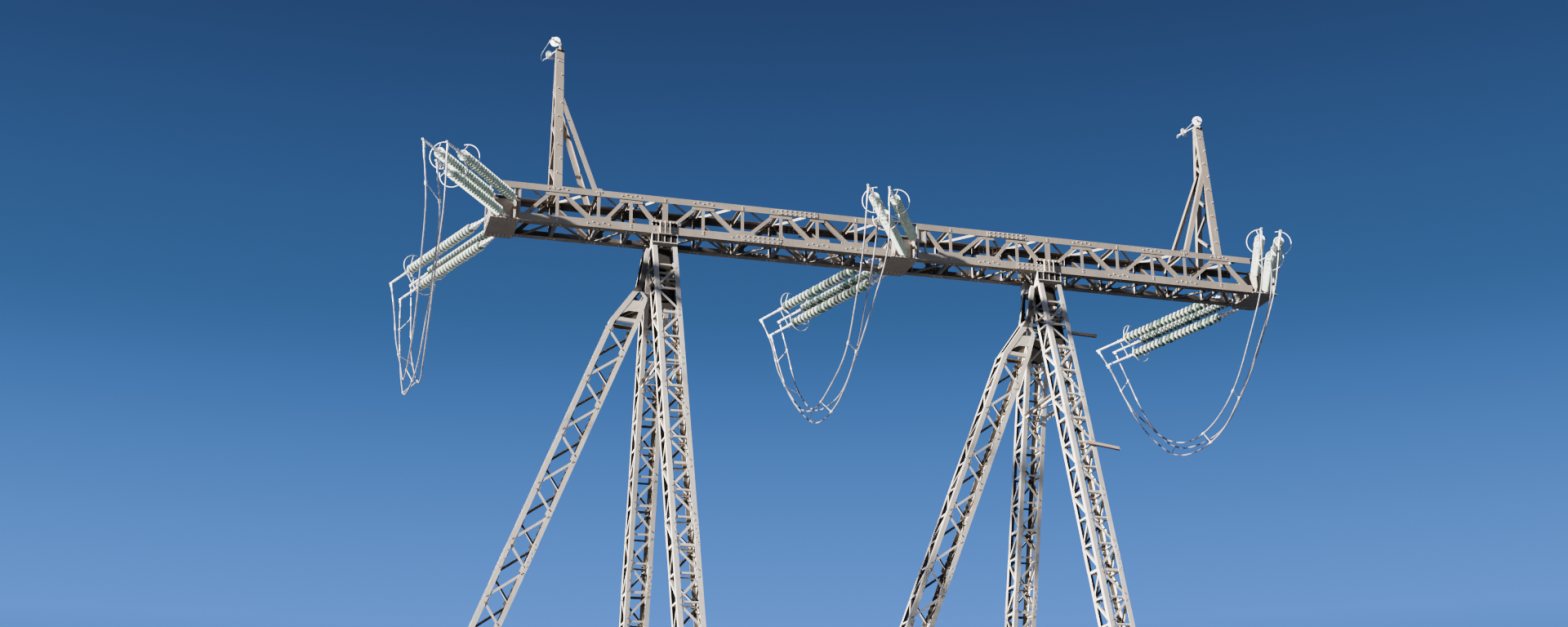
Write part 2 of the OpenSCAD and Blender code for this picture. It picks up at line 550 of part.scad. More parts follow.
// points in between by a smooth curve through the route's points, q to a step
function smooth(P, q) = let (n = len(P) - 1)
  concat([for (i = [0:n - 1]) let (a = P[max(i - 1, 0)], b = P[i], c = P[i + 1], d = P[min(i + 2, n)])
          each [for (j = [0:q - 1]) let (t = j / q)
            0.5 * (2 * b + (c - a) * t + (2 * a - 5 * b + 4 * c - d) * t * t + (3 * b - a - 3 * c + d) * t * t * t)]], [P[n]]);

module tube(pts, d, k = 8) {
  n = len(pts);
  tan = [for (i = [0:n - 1]) unit(pts[min(i + 1, n - 1)] - pts[max(i - 1, 0)])];
  v = [for (i = [0:n - 1]) let (e1 = perp([1, 0, 0], tan[i]), e2 = cross(tan[i], e1))
       each [for (j = [0:k - 1]) pts[i] + d / 2 * (cos(j * 360 / k) * e1 + sin(j * 360 / k) * e2)]];
  faces = concat([[for (j = [0:k - 1]) j]],
    [for (i = [0:n - 2]) for (j = [0:k - 1]) [i * k + j, (i + 1) * k + j, (i + 1) * k + (j + 1) % k, i * k + (j + 1) % k]],
    [[for (j = [k - 1:-1:0]) (n - 1) * k + j]]);
  polyhedron(points = v, faces = faces);
}
module jumper(p, k) {
  color(alu) tube(smooth(jumper_path(p, k), 2), jumper_d);
}

// spacers: short bars between two cables of a phase, with a sleeve round each;
// [cable, cable, place along the route], 0 at the route's first inner point
pairs = [[[0, 2, -0.3], [0, 2, 3.6], [1, 2, 5.2], [0, 1, 6.4], [1, 2, 8]],
         [[0, 2, 1.8], [0, 2, 3.6], [1, 2, 5.2], [0, 1, 6.4], [1, 2, 8]],
         [[0, 2, 2.1], [0, 2, 3.5], [1, 2, 5.2], [0, 1, 6.4], [1, 2, 8]]];
module spacers(p) {
  paths = [for (k = [0:2]) smooth(jumper_path(p, k), 10)];
  color(alu) for (q = pairs[p]) {
    i = round(q[2] * 10) + 10;
    A = paths[q[0]][i];
    B = paths[q[1]][i];
    ta = unit(paths[q[0]][i + 1] - paths[q[0]][i - 1]);
    tb = unit(paths[q[1]][i + 1] - paths[q[1]][i - 1]);
    union() {
      rod(A, B, 24);
      rod(A - 45 * ta, A + 45 * ta, jumper_d + 22);
      rod(B - 45 * tb, B + 45 * tb, jumper_d + 22);
    }
  }
}

// ---- earth-wire fittings: one disc and a clamp on each side of a peak, and the wire loop between the clamps
function peak_dir(s) = s < 0 ? heading(s, 27, 4) : heading(s, 22, 3);
function peak_at(m, s, l) = [m * peak_x, 0, zt + peak_h + 70] + l * peak_dir(s);
module earthwire(m) {
  color(alu) for (s = [-1, 1]) {
    a = peak_dir(s);
    l = s < 0 ? 270 : 360;
    difference() {
      union() {
        rod(peak_at(m, s, 100), peak_at(m, s, l + 20), 30);
        disc_string(peak_at(m, s, l), a, 1);
        rod(peak_at(m, s, l + 130), peak_at(m, s, l + 330), 42);
        rod(peak_at(m, s, l + 270), peak_at(m, s, l + 270) + [-80, 0, -50], 26);
      }
      rod(peak_at(m, s, l + 240), peak_at(m, s, l + 340), 18);
    }
  }
}
module earth_loop(m) {
  A = peak_at(m, -1, 270 + 270) + [-65, 0, -41];
  B = peak_at(m, 1, 360 + 270) + [-65, 0, -41];
  color(alu) tube(smooth([A, A + [-60, 90, -90], (A + B) / 2 + [-150, -60, -190], B + [-70, -120, -120], B], 4), 14);
}

module leg(x0, which) {
  if (which == 0) outer_leg(x0);
  else splay_leg(x0, which);
}

// the beam's middle lies this far right of the footprint's middle
mid_x = -(left_support_x + outer_x(60) - 310 + xe) / 2;
module placed() translate([mid_x, 0, 0]) children();

module beam_chords_front() placed() { beam_chord(-1, true); beam_chord(-1, false); }
module beam_chords_rear() placed() { beam_chord(1, true); beam_chord(1, false); }
module beam_lattice_front() placed() beam_face(-1);
module beam_lattice_rear() placed() beam_face(1);
module beam_lattice_top() placed() beam_flat(true);
module beam_lattice_bottom() placed() beam_flat(false);
module phase_box_left() placed() phase_box(0);
module phase_box_centre() placed() phase_box(1);
module phase_box_right() placed() phase_box(2);
module head_left() placed() head(left_support_x);
module head_right() placed() head(right_support_x);
module leg_left_outer() placed() leg(left_support_x, 0);
module leg_left_near() placed() leg(left_support_x, -1);
module leg_left_far() placed() leg(left_support_x, 1);
module leg_right_outer() placed() leg(right_support_x, 0);
module leg_right_near() placed() leg(right_support_x, -1);
module leg_right_far() placed() leg(right_support_x, 1);
module tie_frame_left() placed() tie_frame(left_support_x, false);
module tie_frame_right() placed() tie_frame(right_support_x, true);
module shoes(x0) {
  shoe(x0 + outer_x(60), 0);
  for (s = [-1, 1]) shoe(x0 + lean_x(0), s * near_foot_y());
}
module shoes_left() placed() shoes(left_support_x);
module shoes_right() placed() shoes(right_support_x);
module peak_left() placed() peak(-1);
module peak_right() placed() peak(1);
module strings_left() placed() strings(0);
module strings_centre() placed() strings(1);
module strings_right() placed() strings(2);
module fittings_left() placed() fittings(0);
module fittings_centre() placed() fittings(1);
module fittings_right() placed() fittings(2);
module jumper_left_1() placed() jumper(0, 0);
module jumper_left_2() placed() jumper(0, 1);
module jumper_left_3() placed() jumper(0, 2);
module jumper_centre_1() placed() jumper(1, 0);
module jumper_centre_2() placed() jumper(1, 1);
module jumper_centre_3() placed() jumper(1, 2);
module jumper_right_1() placed() jumper(2, 0);
module jumper_right_2() placed() jumper(2, 1);
module jumper_right_3() placed() jumper(2, 2);
module spacers_left() placed() spacers(0);
module spacers_centre() placed() spacers(1);
module spacers_right() placed() spacers(2);
module earthwire_left() placed() earthwire(-1);
module earthwire_right() placed() earthwire(1);
module earth_loop_left() placed() earth_loop(-1);
module earth_loop_right() placed() earth_loop(1);

beam_chords_front();
beam_chords_rear();
beam_lattice_front();
beam_lattice_rear();
beam_lattice_top();
beam_lattice_bottom();
phase_box_left();
phase_box_centre();
phase_box_right();
head_left();
head_right();
leg_left_outer();
leg_left_near();
leg_left_far();
leg_right_outer();
leg_right_near();
leg_right_far();
tie_frame_left();
tie_frame_right();
shoes_left();
shoes_right();
peak_left();
peak_right();
strings_left();
strings_centre();
strings_right();
fittings_left();
fittings_centre();
fittings_right();
jumper_left_1();
jumper_left_2();
jumper_left_3();
jumper_centre_1();
jumper_centre_2();
jumper_centre_3();
jumper_right_1();
jumper_right_2();
jumper_right_3();
spacers_left();
spacers_centre();
spacers_right();
earthwire_left();
earthwire_right();
earth_loop_left();
earth_loop_right();
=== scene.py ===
import math
import bpy
from mathutils import Matrix, Vector


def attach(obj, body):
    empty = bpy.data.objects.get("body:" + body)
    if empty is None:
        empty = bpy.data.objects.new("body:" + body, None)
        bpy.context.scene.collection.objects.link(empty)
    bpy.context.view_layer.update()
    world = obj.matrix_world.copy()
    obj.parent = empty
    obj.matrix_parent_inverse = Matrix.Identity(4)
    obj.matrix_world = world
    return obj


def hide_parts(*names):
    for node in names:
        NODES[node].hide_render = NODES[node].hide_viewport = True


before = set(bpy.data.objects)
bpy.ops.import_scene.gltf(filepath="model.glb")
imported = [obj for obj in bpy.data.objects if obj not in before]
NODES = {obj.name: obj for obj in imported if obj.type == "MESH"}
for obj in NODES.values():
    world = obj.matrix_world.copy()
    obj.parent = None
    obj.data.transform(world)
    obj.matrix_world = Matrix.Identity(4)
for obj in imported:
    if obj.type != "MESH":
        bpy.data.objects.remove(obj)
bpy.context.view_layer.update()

# ------------------------------------------------------------------ sizes shared with the CAD, in millimetres
MID_X = 1945.0
PITCH = 10000.0
ZB, BEAM_H, BEAM_D = 19700.0, 970.0, 1110.0
ZT, HD = ZB + BEAM_H, BEAM_D / 2
XE = PITCH + 340
TOP_W, BOT_W, CHORD_T = 160.0, 200.0, 16.0
SUP = (-6110.0, 3890.0)
LEG_W, LEG_CW, LEG_CT, PANEL = 600.0, 110.0, 11.0, 667.0
SK, OK = 0.292, 0.4
HEAD_Z = ZB - 240
TIE_Z, FRAME_Z, INNER_Z, KINK_Z = 18420.0, 16300.0, 19150.0, 17550.0
SHOE_Z, OUTER_SHOE_Z, TIP = 1500.0, 1300.0, 150.0
PEAK_X, PEAK_H, PEAK_W = 8745.0, 3930.0, 200.0
DISC_N, DISC_P, DISC_D = 22, 146.0, 255.0
STRING_A = 258.0
JUMPER_D = 36.0
SPLAY_RUN = LEG_W * math.sqrt(1 + SK * SK)
OUTER_RUN = LEG_W * math.sqrt(1 + OK * OK)
PAN = [-PITCH + 450, -8745, -7745, -6950, SUP[0], -5160, -4170, -3190, -2255, -1255, -480,
       480, 1255, 2255, 3050, SUP[1], 4840, 5830, 6810, 7745, 8745, PITCH - 450]
UP = [0, 1, 0, 1, 0, 1, 0, 1, 0, 0, 1, 1, 0, 0, 1, 0, 1, 0, 1, 0, 1, 0]


def V(*a):
    return Vector(a[0] if len(a) == 1 else a)


def px(p):
    return (p - 1) * PITCH


def heading(s, az, el):
    a, e = math.radians(az), math.radians(el)
    return V(-math.sin(a) * math.cos(e), s * math.cos(a) * math.cos(e), -math.sin(e))


NEAR_AZ, NEAR_EL = (28, 26.8, 27), (6.2, 5.7, 5.9)
FAR_AZ, FAR_EL = (22, 21.7, 21.2), (1.9, 3, 3.2)


def sdir(p, s):
    return heading(s, NEAR_AZ[p], NEAR_EL[p]) if s < 0 else heading(s, FAR_AZ[p], FAR_EL[p])


def lug(p, s, k):
    return V(px(p) + (-STRING_A, STRING_A, 0)[k], s * (608 if s < 0 else 650), ZB + (54 if k == 2 else 484))


def link(s, k):
    return (310 if k == 2 else 250) if s < 0 else (770 if k == 2 else 760)


def disc0(p, s, k):
    return lug(p, s, k) + link(s, k) * sdir(p, s)


def disc1(p, s, k):
    return disc0(p, s, k) + DISC_N * DISC_P * sdir(p, s)


def arm(s, k):
    return (680 if k == 2 else 870) if s < 0 else (1040 if k == 2 else 1075)


def terminal(p, s, k):
    return disc1(p, s, k) + arm(s, k) * sdir(p, s)


# route points of the jumpers, [phase][cable][stop], from each phase's middle
ROUTE = (
    (((-2125, -4055, 18455), (-2085, -3235, 17395), (-2055, -2210, 16470), (-2040, -1010, 15950), (-2015, 240, 15840),
      (-1985, 1440, 16175), (-1980, 2565, 16925), (-2040, 3635, 17845), (-2075, 4470, 18885)),
     ((-1735, -4050, 18390), (-1755, -3160, 17325), (-1745, -2090, 16455), (-1705, -860, 15950), (-1635, 435, 15915),
      (-1595, 1660, 16175), (-1620, 2750, 16790), (-1650, 3740, 17660), (-1645, 4480, 18775)),
     ((-1790, -3840, 18190), (-1805, -3065, 17210), (-1820, -2110, 16350), (-1850, -1030, 15715), (-1905, 205, 15555),
      (-1930, 1440, 15785), (-1930, 2530, 16470), (-1920, 3540, 17370), (-1920, 4410, 18420))),
    (((-2205, -4035, 18445), (-2155, -3220, 17395), (-2100, -2210, 16485), (-2135, -995, 15985), (-2120, 260, 15850),
      (-2100, 1460, 16165), (-2100, 2585, 16920), (-2105, 3640, 17860), (-2075, 4455, 18925)),
     ((-1640, -4080, 18400), (-1735, -3180, 17350), (-1795, -2090, 16490), (-1765, -860, 15990), (-1740, 430, 15990),
      (-1715, 1665, 16250), (-1690, 2760, 16835), (-1645, 3740, 17680), (-1635, 4475, 18785)),
     ((-1910, -3795, 18160), (-1905, -3030, 17185), (-1860, -2095, 16345), (-1880, -1030, 15740), (-1880, 190, 15600),
      (-1840, 1400, 15840), (-1895, 2505, 16515), (-1925, 3530, 17390), (-1910, 4405, 18425))),
    (((-2130, -4080, 18465), (-2105, -3250, 17395), (-2055, -2220, 16445), (-2025, -1010, 15895), (-2030, 260, 15770),
      (-2050, 1465, 16110), (-2075, 2600, 16875), (-2100, 3660, 17820), (-2085, 4470, 18890)),
     ((-1755, -4025, 18365), (-1770, -3135, 17280), (-1750, -2065, 16385), (-1675, -845, 15830), (-1650, 470, 15775),
      (-1645, 1715, 16015), (-1620, 2800, 16645), (-1595, 3755, 17590), (-1630, 4485, 18745)),
     ((-1800, -3830, 18135), (-1820, -3055, 17165), (-1825, -2100, 16320), (-1840, -1030, 15680), (-1875, 210, 15510),
      (-1890, 1445, 15725), (-1925, 2545, 16415), (-1920, 3550, 17330), (-1900, 4410, 18405))))


def stop(p, k, i):
    return V(ROUTE[p][k][i]) + V(px(p), 0, 0)


def lead(p, s, k):
    return (stop(p, k, 0 if s < 0 else 8) - terminal(p, s, k)).normalized()


def jumper_path(p, k):
    return ([terminal(p, -1, k) + 220 * lead(p, -1, k)] + [stop(p, k, i) for i in range(9)]
            + [terminal(p, 1, k) + 220 * lead(p, 1, k)])


def smooth(P, q):
    n, out = len(P) - 1, []
    for i in range(n):
        a, b, c, d = P[max(i - 1, 0)], P[i], P[i + 1], P[min(i + 2, n)]
        for j in range(q):
            t = j / q
            out.append(0.5 * (2 * b + (c - a) * t + (2 * a - 5 * b + 4 * c - d) * t * t + (3 * b - a - 3 * c + d) * t ** 3))
    return out + [P[n]]


def peak_dir(s):
    return heading(s, 27, 4) if s < 0 else heading(s, 22, 3)


def peak_at(m, s, l):
    return V(m * PEAK_X, 0, ZT + PEAK_H + 70) + l * peak_dir(s)


def metres(p):
    return Vector(((p[0] + MID_X) / 1000, p[1] / 1000, p[2] / 1000))


# ------------------------------------------------------------------ camera at the photograph's viewpoint
def make_camera():
    yaw, pit, rol = (math.radians(a) for a in (15.708, 20.052, -0.332))
    f = V(math.sin(yaw) * math.cos(pit), math.cos(yaw) * math.cos(pit), math.sin(pit))
    r0 = V(math.cos(yaw), -math.sin(yaw), 0)
    u0 = r0.cross(f)
    r = r0 * math.cos(rol) + u0 * math.sin(rol)
    u = u0 * math.cos(rol) - r0 * math.sin(rol)
    cam = bpy.data.cameras.new("camera")
    cam.sensor_fit = "HORIZONTAL"
    cam.sensor_width = 36.0
    cam.lens = 2400.2 / 1920 * 36.0
    cam.clip_start, cam.clip_end = 0.5, 400
    o = bpy.data.objects.new("camera", cam)
    bpy.context.scene.collection.objects.link(o)
    o.matrix_world = Matrix(((r.x, u.x, -f.x, -13.282), (r.y, u.y, -f.y, -43.572), (r.z, u.z, -f.z, 1.618), (0, 0, 0, 1)))
    bpy.context.scene.camera = o
    return o


make_camera()


# ------------------------------------------------------------------ materials
class Mat:
    """A small helper to wire a principled material."""

    def __init__(self, name, rough=0.6, metal=0.0, **sockets):
        self.m = bpy.data.materials.new(name)
        self.m.use_nodes = True
        self.t = self.m.node_tree
        self.b = self.t.nodes["Principled BSDF"]
        self.b.inputs["Roughness"].default_value = rough
        self.b.inputs["Metallic"].default_value = metal
        for k, v in sockets.items():
            self.b.inputs[k.replace("_", " ")].default_value = v
        self.coord = self.node("ShaderNodeTexCoord").outputs["Object"]

    def node(self, kind, **props):
        n = self.t.nodes.new(kind)
        for k, v in props.items():
            setattr(n, k, v)
        return n

    def link(self, a, b):
        self.t.links.new(a, b)

    def noise(self, scale, detail=4.0, rough=0.55, stretch=None, seed=(0, 0, 0), coord=None):
        src = coord or self.coord
        mp = self.node("ShaderNodeMapping")
        mp.inputs["Scale"].default_value = stretch or (1, 1, 1)
        mp.inputs["Location"].default_value = seed
        self.link(src, mp.inputs["Vector"])
        n = self.node("ShaderNodeTexNoise")
        n.inputs["Scale"].default_value = scale
        n.inputs["Detail"].default_value = detail
        n.inputs["Roughness"].default_value = rough
        self.link(mp.outputs["Vector"], n.inputs["Vector"])
        return n.outputs["Fac"]

    def ramp(self, fac, stops, interp="LINEAR"):
        r = self.node("ShaderNodeValToRGB")
        r.color_ramp.interpolation = interp
        e = r.color_ramp.elements
        e[0].position, e[1].position = stops[0][0], stops[-1][0]
        for pos, _ in stops[1:-1]:
            e.new(pos)
        for el, (pos, c) in zip(sorted(e, key=lambda x: x.position), stops):
            el.color = (c, c, c, 1) if isinstance(c, (int, float)) else (*c, 1)
        self.link(fac, r.inputs["Fac"])
        return r.outputs["Color"]

    def mix(self, fac, a, b, mode="MIX"):
        n = self.node("ShaderNodeMix", data_type="RGBA", blend_type=mode)
        for key, val in ((0, fac), (6, a), (7, b)):
            if isinstance(val, bpy.types.NodeSocket):
                self.link(val, n.inputs[key])
            elif key == 0:
                n.inputs[0].default_value = val
            else:
                n.inputs[key].default_value = (*val, 1)
        return n.outputs[2]

    def math(self, op, a, b=0.0, c=None):
        n = self.node("ShaderNodeMath", operation=op)
        for i, val in enumerate((a, b) if c is None else (a, b, c)):
            if isinstance(val, bpy.types.NodeSocket):
                self.link(val, n.inputs[i])
            else:
                n.inputs[i].default_value = val
        return n.outputs[0]

    def bump(self, height, strength, dist):
        n = self.node("ShaderNodeBump")
        n.inputs["Strength"].default_value = strength
        n.inputs["Distance"].default_value = dist
        self.link(height, n.inputs["Height"])
        return n.outputs["Normal"]

    def down(self):
        """0 on faces that look up, 1 on faces that look down."""
        g = self.node("ShaderNodeNewGeometry")
        s = self.node("ShaderNodeSeparateXYZ")
        self.link(g.outputs["True Normal"], s.inputs[0])
        return self.math("MULTIPLY", s.outputs["Z"], -1.0)

    def facing(self, v):
        """1 on faces whose true normal looks along v, -1 on those that look away from it."""
        g = self.node("ShaderNodeNewGeometry")
        d = self.node("ShaderNodeVectorMath", operation="DOT_PRODUCT")
        self.link(g.outputs["True Normal"], d.inputs[0])
        d.inputs[1].default_value = v
        return d.outputs["Value"]

    def set(self, name, socket):
        self.link(socket, self.b.inputs[name])


def weathered_steel(name, light, mid, dark, stain_and_shade, rust=0.35, under_shade=0.55, seed=0.0, rough=0.55, side_shade=None, finish_and_shade_zones=(), far_half_shade=None, shade_band=None):
    """Galvanised lattice steel that has dulled: mottled zinc, run-down streaks and a little rust bloom; painted shade
    darkens the faces that look down and, where asked, faces that look one way, a leg's far half and a band of front
    faces."""
    m = Mat(name, rough=rough, metal=0.0)
    m.b.inputs["Specular IOR Level"].default_value = 0.4
    big = m.noise(0.9, 5, 0.6, seed=(seed, 3, 1))
    patch = m.noise(7, 5, 0.65, seed=(seed, 9, 4))
    grain = m.noise(70, 3, 0.6, seed=(seed, 1, 7))
    streak = m.noise(3.0, 5, 0.6, stretch=(9, 9, 0.7), seed=(seed, 0, 2))
    col = m.ramp(big, [(0.32, mid), (0.62, light)])
    col = m.mix(m.ramp(patch, [(0.42, 0.0), (0.72, 0.55)]), col, mid)
    col = m.mix(m.ramp(streak, [(0.5, 0.0), (0.78, 0.5)]), col, dark)
    col = m.mix(m.ramp(grain, [(0.3, 0.22), (0.7, 0.0)]), col, dark)
    if rust:
        spot = m.noise(3.4, 8, 0.72, seed=(seed + 5, 2, 8))
        col = m.mix(m.ramp(spot, [(0.62, 0.0), (0.74, rust)]), col, stain_and_shade)
    # painted shade: the stain colour darkens the faces that look down
    if under_shade:
        shade_mask = m.ramp(m.down(), [(0.35, 0.0), (0.8, 1.0)])
        var = m.ramp(m.noise(2.2, 5, 0.6, seed=(2, seed, 5)), [(0.3, under_shade * 0.75), (0.7, under_shade)])
        col = m.mix(m.math("MULTIPLY", shade_mask, var), col, stain_and_shade)
    if far_half_shade:
        # painted shade on the far half of a leg, seen from inside: near-black on what lies past the plane y = a + b z
        # and looks towards -y
        a, b, amount = far_half_shade
        sep = m.node("ShaderNodeSeparateXYZ")
        m.link(m.coord, sep.inputs[0])
        past = m.math("GREATER_THAN", m.math("SUBTRACT", sep.outputs["Y"], m.math("MULTIPLY", sep.outputs["Z"], b)), a)
        shade_mask = m.math("MULTIPLY", m.ramp(m.facing((0, -1, 0)), [(0.45, 0.0), (0.8, 1.0)]), past)
        col = m.mix(m.math("MULTIPLY", shade_mask, amount), col, (0.045, 0.038, 0.032))
    if side_shade:
        # painted shade, near-black, on the faces that look along each given way
        for way, amount in side_shade:
            shade_mask = m.ramp(m.facing(way), [(0.45, 0.0), (0.8, 1.0)])
            var = m.ramp(m.noise(2.6, 5, 0.6, seed=(7, seed, 2)), [(0.3, amount * 0.85), (0.7, amount)])
            col = m.mix(m.math("MULTIPLY", shade_mask, var), col, (0.045, 0.038, 0.032))
    if shade_band:
        # painted shade on front faces between two heights
        z0, z1, amount = shade_band
        sep = m.node("ShaderNodeSeparateXYZ")
        m.link(m.coord, sep.inputs[0])
        inside = m.math("MULTIPLY", m.math("GREATER_THAN", sep.outputs["Z"], z0), m.math("LESS_THAN", sep.outputs["Z"], z1))
        shade_mask = m.math("MULTIPLY", m.ramp(m.facing((0, -1, 0)), [(0.45, 0.0), (0.8, 1.0)]), inside)
        col = m.mix(m.math("MULTIPLY", shade_mask, amount), col, (0.045, 0.040, 0.036))
    for test, z, tint in finish_and_shade_zones:
        # a tint above or below a height in metres: another finish, or painted shade
        sep = m.node("ShaderNodeSeparateXYZ")
        m.link(m.coord, sep.inputs[0])
        col = m.mix(m.math(test, sep.outputs["Z"], z), col, tint, "MULTIPLY")
    m.set("Base Color", col)
    r = m.ramp(patch, [(0.3, rough - 0.12), (0.75, rough + 0.18)])
    m.set("Roughness", r)
    h = m.math("ADD", m.math("MULTIPLY", grain, 0.35), m.math("MULTIPLY", patch, 0.65))
    m.set("Normal", m.bump(h, 0.35, 0.004))
    return m.m


def cast_alloy(name, base, dark, rough=0.5, metal=0.3):
    m = Mat(name, rough=rough, metal=metal)
    a = m.noise(24, 4, 0.6)
    b = m.noise(140, 2, 0.5)
    col = m.ramp(a, [(0.3, dark), (0.62, base)])
    m.set("Base Color", col)
    m.set("Roughness", m.ramp(a, [(0.3, rough + 0.15), (0.7, rough - 0.08)]))
    m.set("Normal", m.bump(b, 0.3, 0.0015))
    return m.m


def stranded(name, base, dark, strands, lay, rough=0.42, metal=0.35):
    """Stranded cable: helical strands from the tube's own UVs, u in metres along it and v once round."""
    m = Mat(name, rough=rough, metal=metal)
    uv = m.node("ShaderNodeUVMap", uv_map="lay")
    sep = m.node("ShaderNodeSeparateXYZ")
    m.link(uv.outputs["UV"], sep.inputs[0])
    turn = m.math("MULTIPLY", sep.outputs["X"], strands / lay)
    ring = m.math("MULTIPLY", sep.outputs["Y"], float(strands))
    ph = m.math("MULTIPLY", m.math("ADD", turn, ring), 2 * math.pi)
    wave = m.math("ABSOLUTE", m.math("SINE", m.math("MULTIPLY", ph, 0.5)))
    dirt = m.noise(5, 5, 0.6)
    col = m.mix(m.ramp(wave, [(0.0, 0.25), (0.3, 0.0)]), m.ramp(dirt, [(0.3, dark), (0.55, base)]), dark)
    m.set("Base Color", col)
    m.set("Normal", m.bump(wave, 0.3, 0.0015))
    return m.m


def glass(name, tint, deep, dusty=0.35, through=0.25):
    """Toughened glass of an insulator disc: sea-green, glossy, dusty on top, a little see-through."""
    m = Mat(name, rough=0.12, metal=0.0)
    m.b.inputs["IOR"].default_value = 1.5
    m.b.inputs["Transmission Weight"].default_value = through
    m.b.inputs["Coat Weight"].default_value = 0.4
    m.b.inputs["Coat Roughness"].default_value = 0.08
    dust = m.noise(38, 5, 0.65)
    film = m.noise(6, 4, 0.6)
    col = m.ramp(film, [(0.3, deep), (0.7, tint)])
    col = m.mix(m.ramp(dust, [(0.5, 0.0), (0.8, dusty)]), col, (0.62, 0.64, 0.60))
    m.set("Base Color", col)
    m.set("Roughness", m.ramp(dust, [(0.4, 0.08), (0.75, 0.34)]))
    m.set("Normal", m.bump(m.noise(60, 2, 0.5), 0.08, 0.001))
    return m.m


# the underside, side, far-half and band darkening set in these steels is painted shade
STEEL = weathered_steel("steel_lattice", (0.40, 0.35, 0.295), (0.32, 0.275, 0.23), (0.21, 0.175, 0.145), (0.12, 0.105, 0.09), under_shade=0.75)
STEEL_REAR = weathered_steel("steel_lattice_rear", (0.69, 0.63, 0.58), (0.53, 0.47, 0.43), (0.33, 0.28, 0.25), (0.10, 0.09, 0.08), under_shade=0.85, seed=15.0,
                             side_shade=(((0, -1, 0), 0.92),))
STEEL_LOW = weathered_steel("steel_lattice_low", (0.50, 0.46, 0.42), (0.34, 0.31, 0.28), (0.19, 0.17, 0.15), (0.085, 0.08, 0.075), under_shade=0.9, seed=18.0,
                            side_shade=(((0, -1, 0), 0.8), ((1, 0, 0), 0.7)))
LEG_TONES = ((0.78, 0.735, 0.66), (0.64, 0.59, 0.52), (0.38, 0.33, 0.28), (0.22, 0.17, 0.135))
STEEL_LEG = weathered_steel("steel_leg", *LEG_TONES, seed=3.0, side_shade=(((0, -1, 0), 0.35),))
# the legs' far halves, and a band of the outer legs' front faces from 18.25 m to 19 m, get painted shade
STEEL_LEGS = {which: weathered_steel(f"steel_leg_{name}", *LEG_TONES, seed=3.0, far_half_shade=(a, b, 0.9), side_shade=(((0, -1, 0), 0.32),),
                                     shade_band=None if which else (18.25, 19.0, 0.85))
              for which, name, a, b in ((0, "outer", 0.0, 0.0), (-1, "near", -5.945, 0.292), (1, "far", 5.945, -0.292))}
STEEL_BOX = weathered_steel("steel_box", (0.48, 0.43, 0.37), (0.35, 0.31, 0.265), (0.21, 0.18, 0.155), (0.12, 0.105, 0.09), seed=6.0, under_shade=0.5)
STEEL_BASE = weathered_steel("steel_base", (0.50, 0.47, 0.43), (0.40, 0.37, 0.34), (0.27, 0.24, 0.21), (0.22, 0.15, 0.10), rust=0.6, seed=9.0)
# tie frame: paler pink below 15.5 m is its own finish; darker above 17.2 m is painted shade
STEEL_TIE = weathered_steel("steel_tie", (0.80, 0.76, 0.70), (0.66, 0.62, 0.57), (0.42, 0.37, 0.33), (0.22, 0.17, 0.13), seed=21.0,
                            finish_and_shade_zones=(("LESS_THAN", 15.5, (0.72, 0.60, 0.54)), ("GREATER_THAN", 17.2, (0.34, 0.30, 0.27))))
BOLT = cast_alloy("bolt_zinc", (0.74, 0.70, 0.65), (0.48, 0.43, 0.39), rough=0.45, metal=0.25)
ALLOY = cast_alloy("alloy_cast", (0.86, 0.85, 0.86), (0.62, 0.60, 0.60), rough=0.42, metal=0.3)
CAP = cast_alloy("cap_iron", (0.42, 0.43, 0.40), (0.22, 0.23, 0.21), rough=0.55, metal=0.2)
CABLE = stranded("cable_strands", (0.52, 0.50, 0.53), (0.32, 0.30, 0.32), 18, 0.42)
LOOP = stranded("loop_strands", (0.72, 0.70, 0.70), (0.46, 0.44, 0.45), 9, 0.16)
# near-black material that stands in for shade in the head and the leg tops: painted shade
SHADE = cast_alloy("packing_painted_shade", (0.050, 0.046, 0.042), (0.030, 0.028, 0.026), rough=0.8, metal=0.0)
GLASS = glass("disc_glass", (0.84, 0.85, 0.79), (0.60, 0.66, 0.60))
# dark glass for painted shade round the cap of each disc
GLASS_CROWN_SHADE = glass("disc_crown_shade", (0.23, 0.32, 0.26), (0.12, 0.19, 0.15), 0.1, 0.1)
# pale glass on the ribs: painted light that lifts the discs' shaded undersides, standing in for sunlight coming through
# the glass
GLASS_RIB_PAINTED_LIGHT = glass("disc_ribs_painted_light", (0.78, 0.86, 0.76), (0.60, 0.68, 0.58), 0.35, 0.0)


# ------------------------------------------------------------------ mesh building, in millimetres
def perp(n, a):
    return (n - n.dot(a) * a).normalized()


def frame_of(a, n):
    e1 = perp(n, a)
    return e1, a.cross(e1)


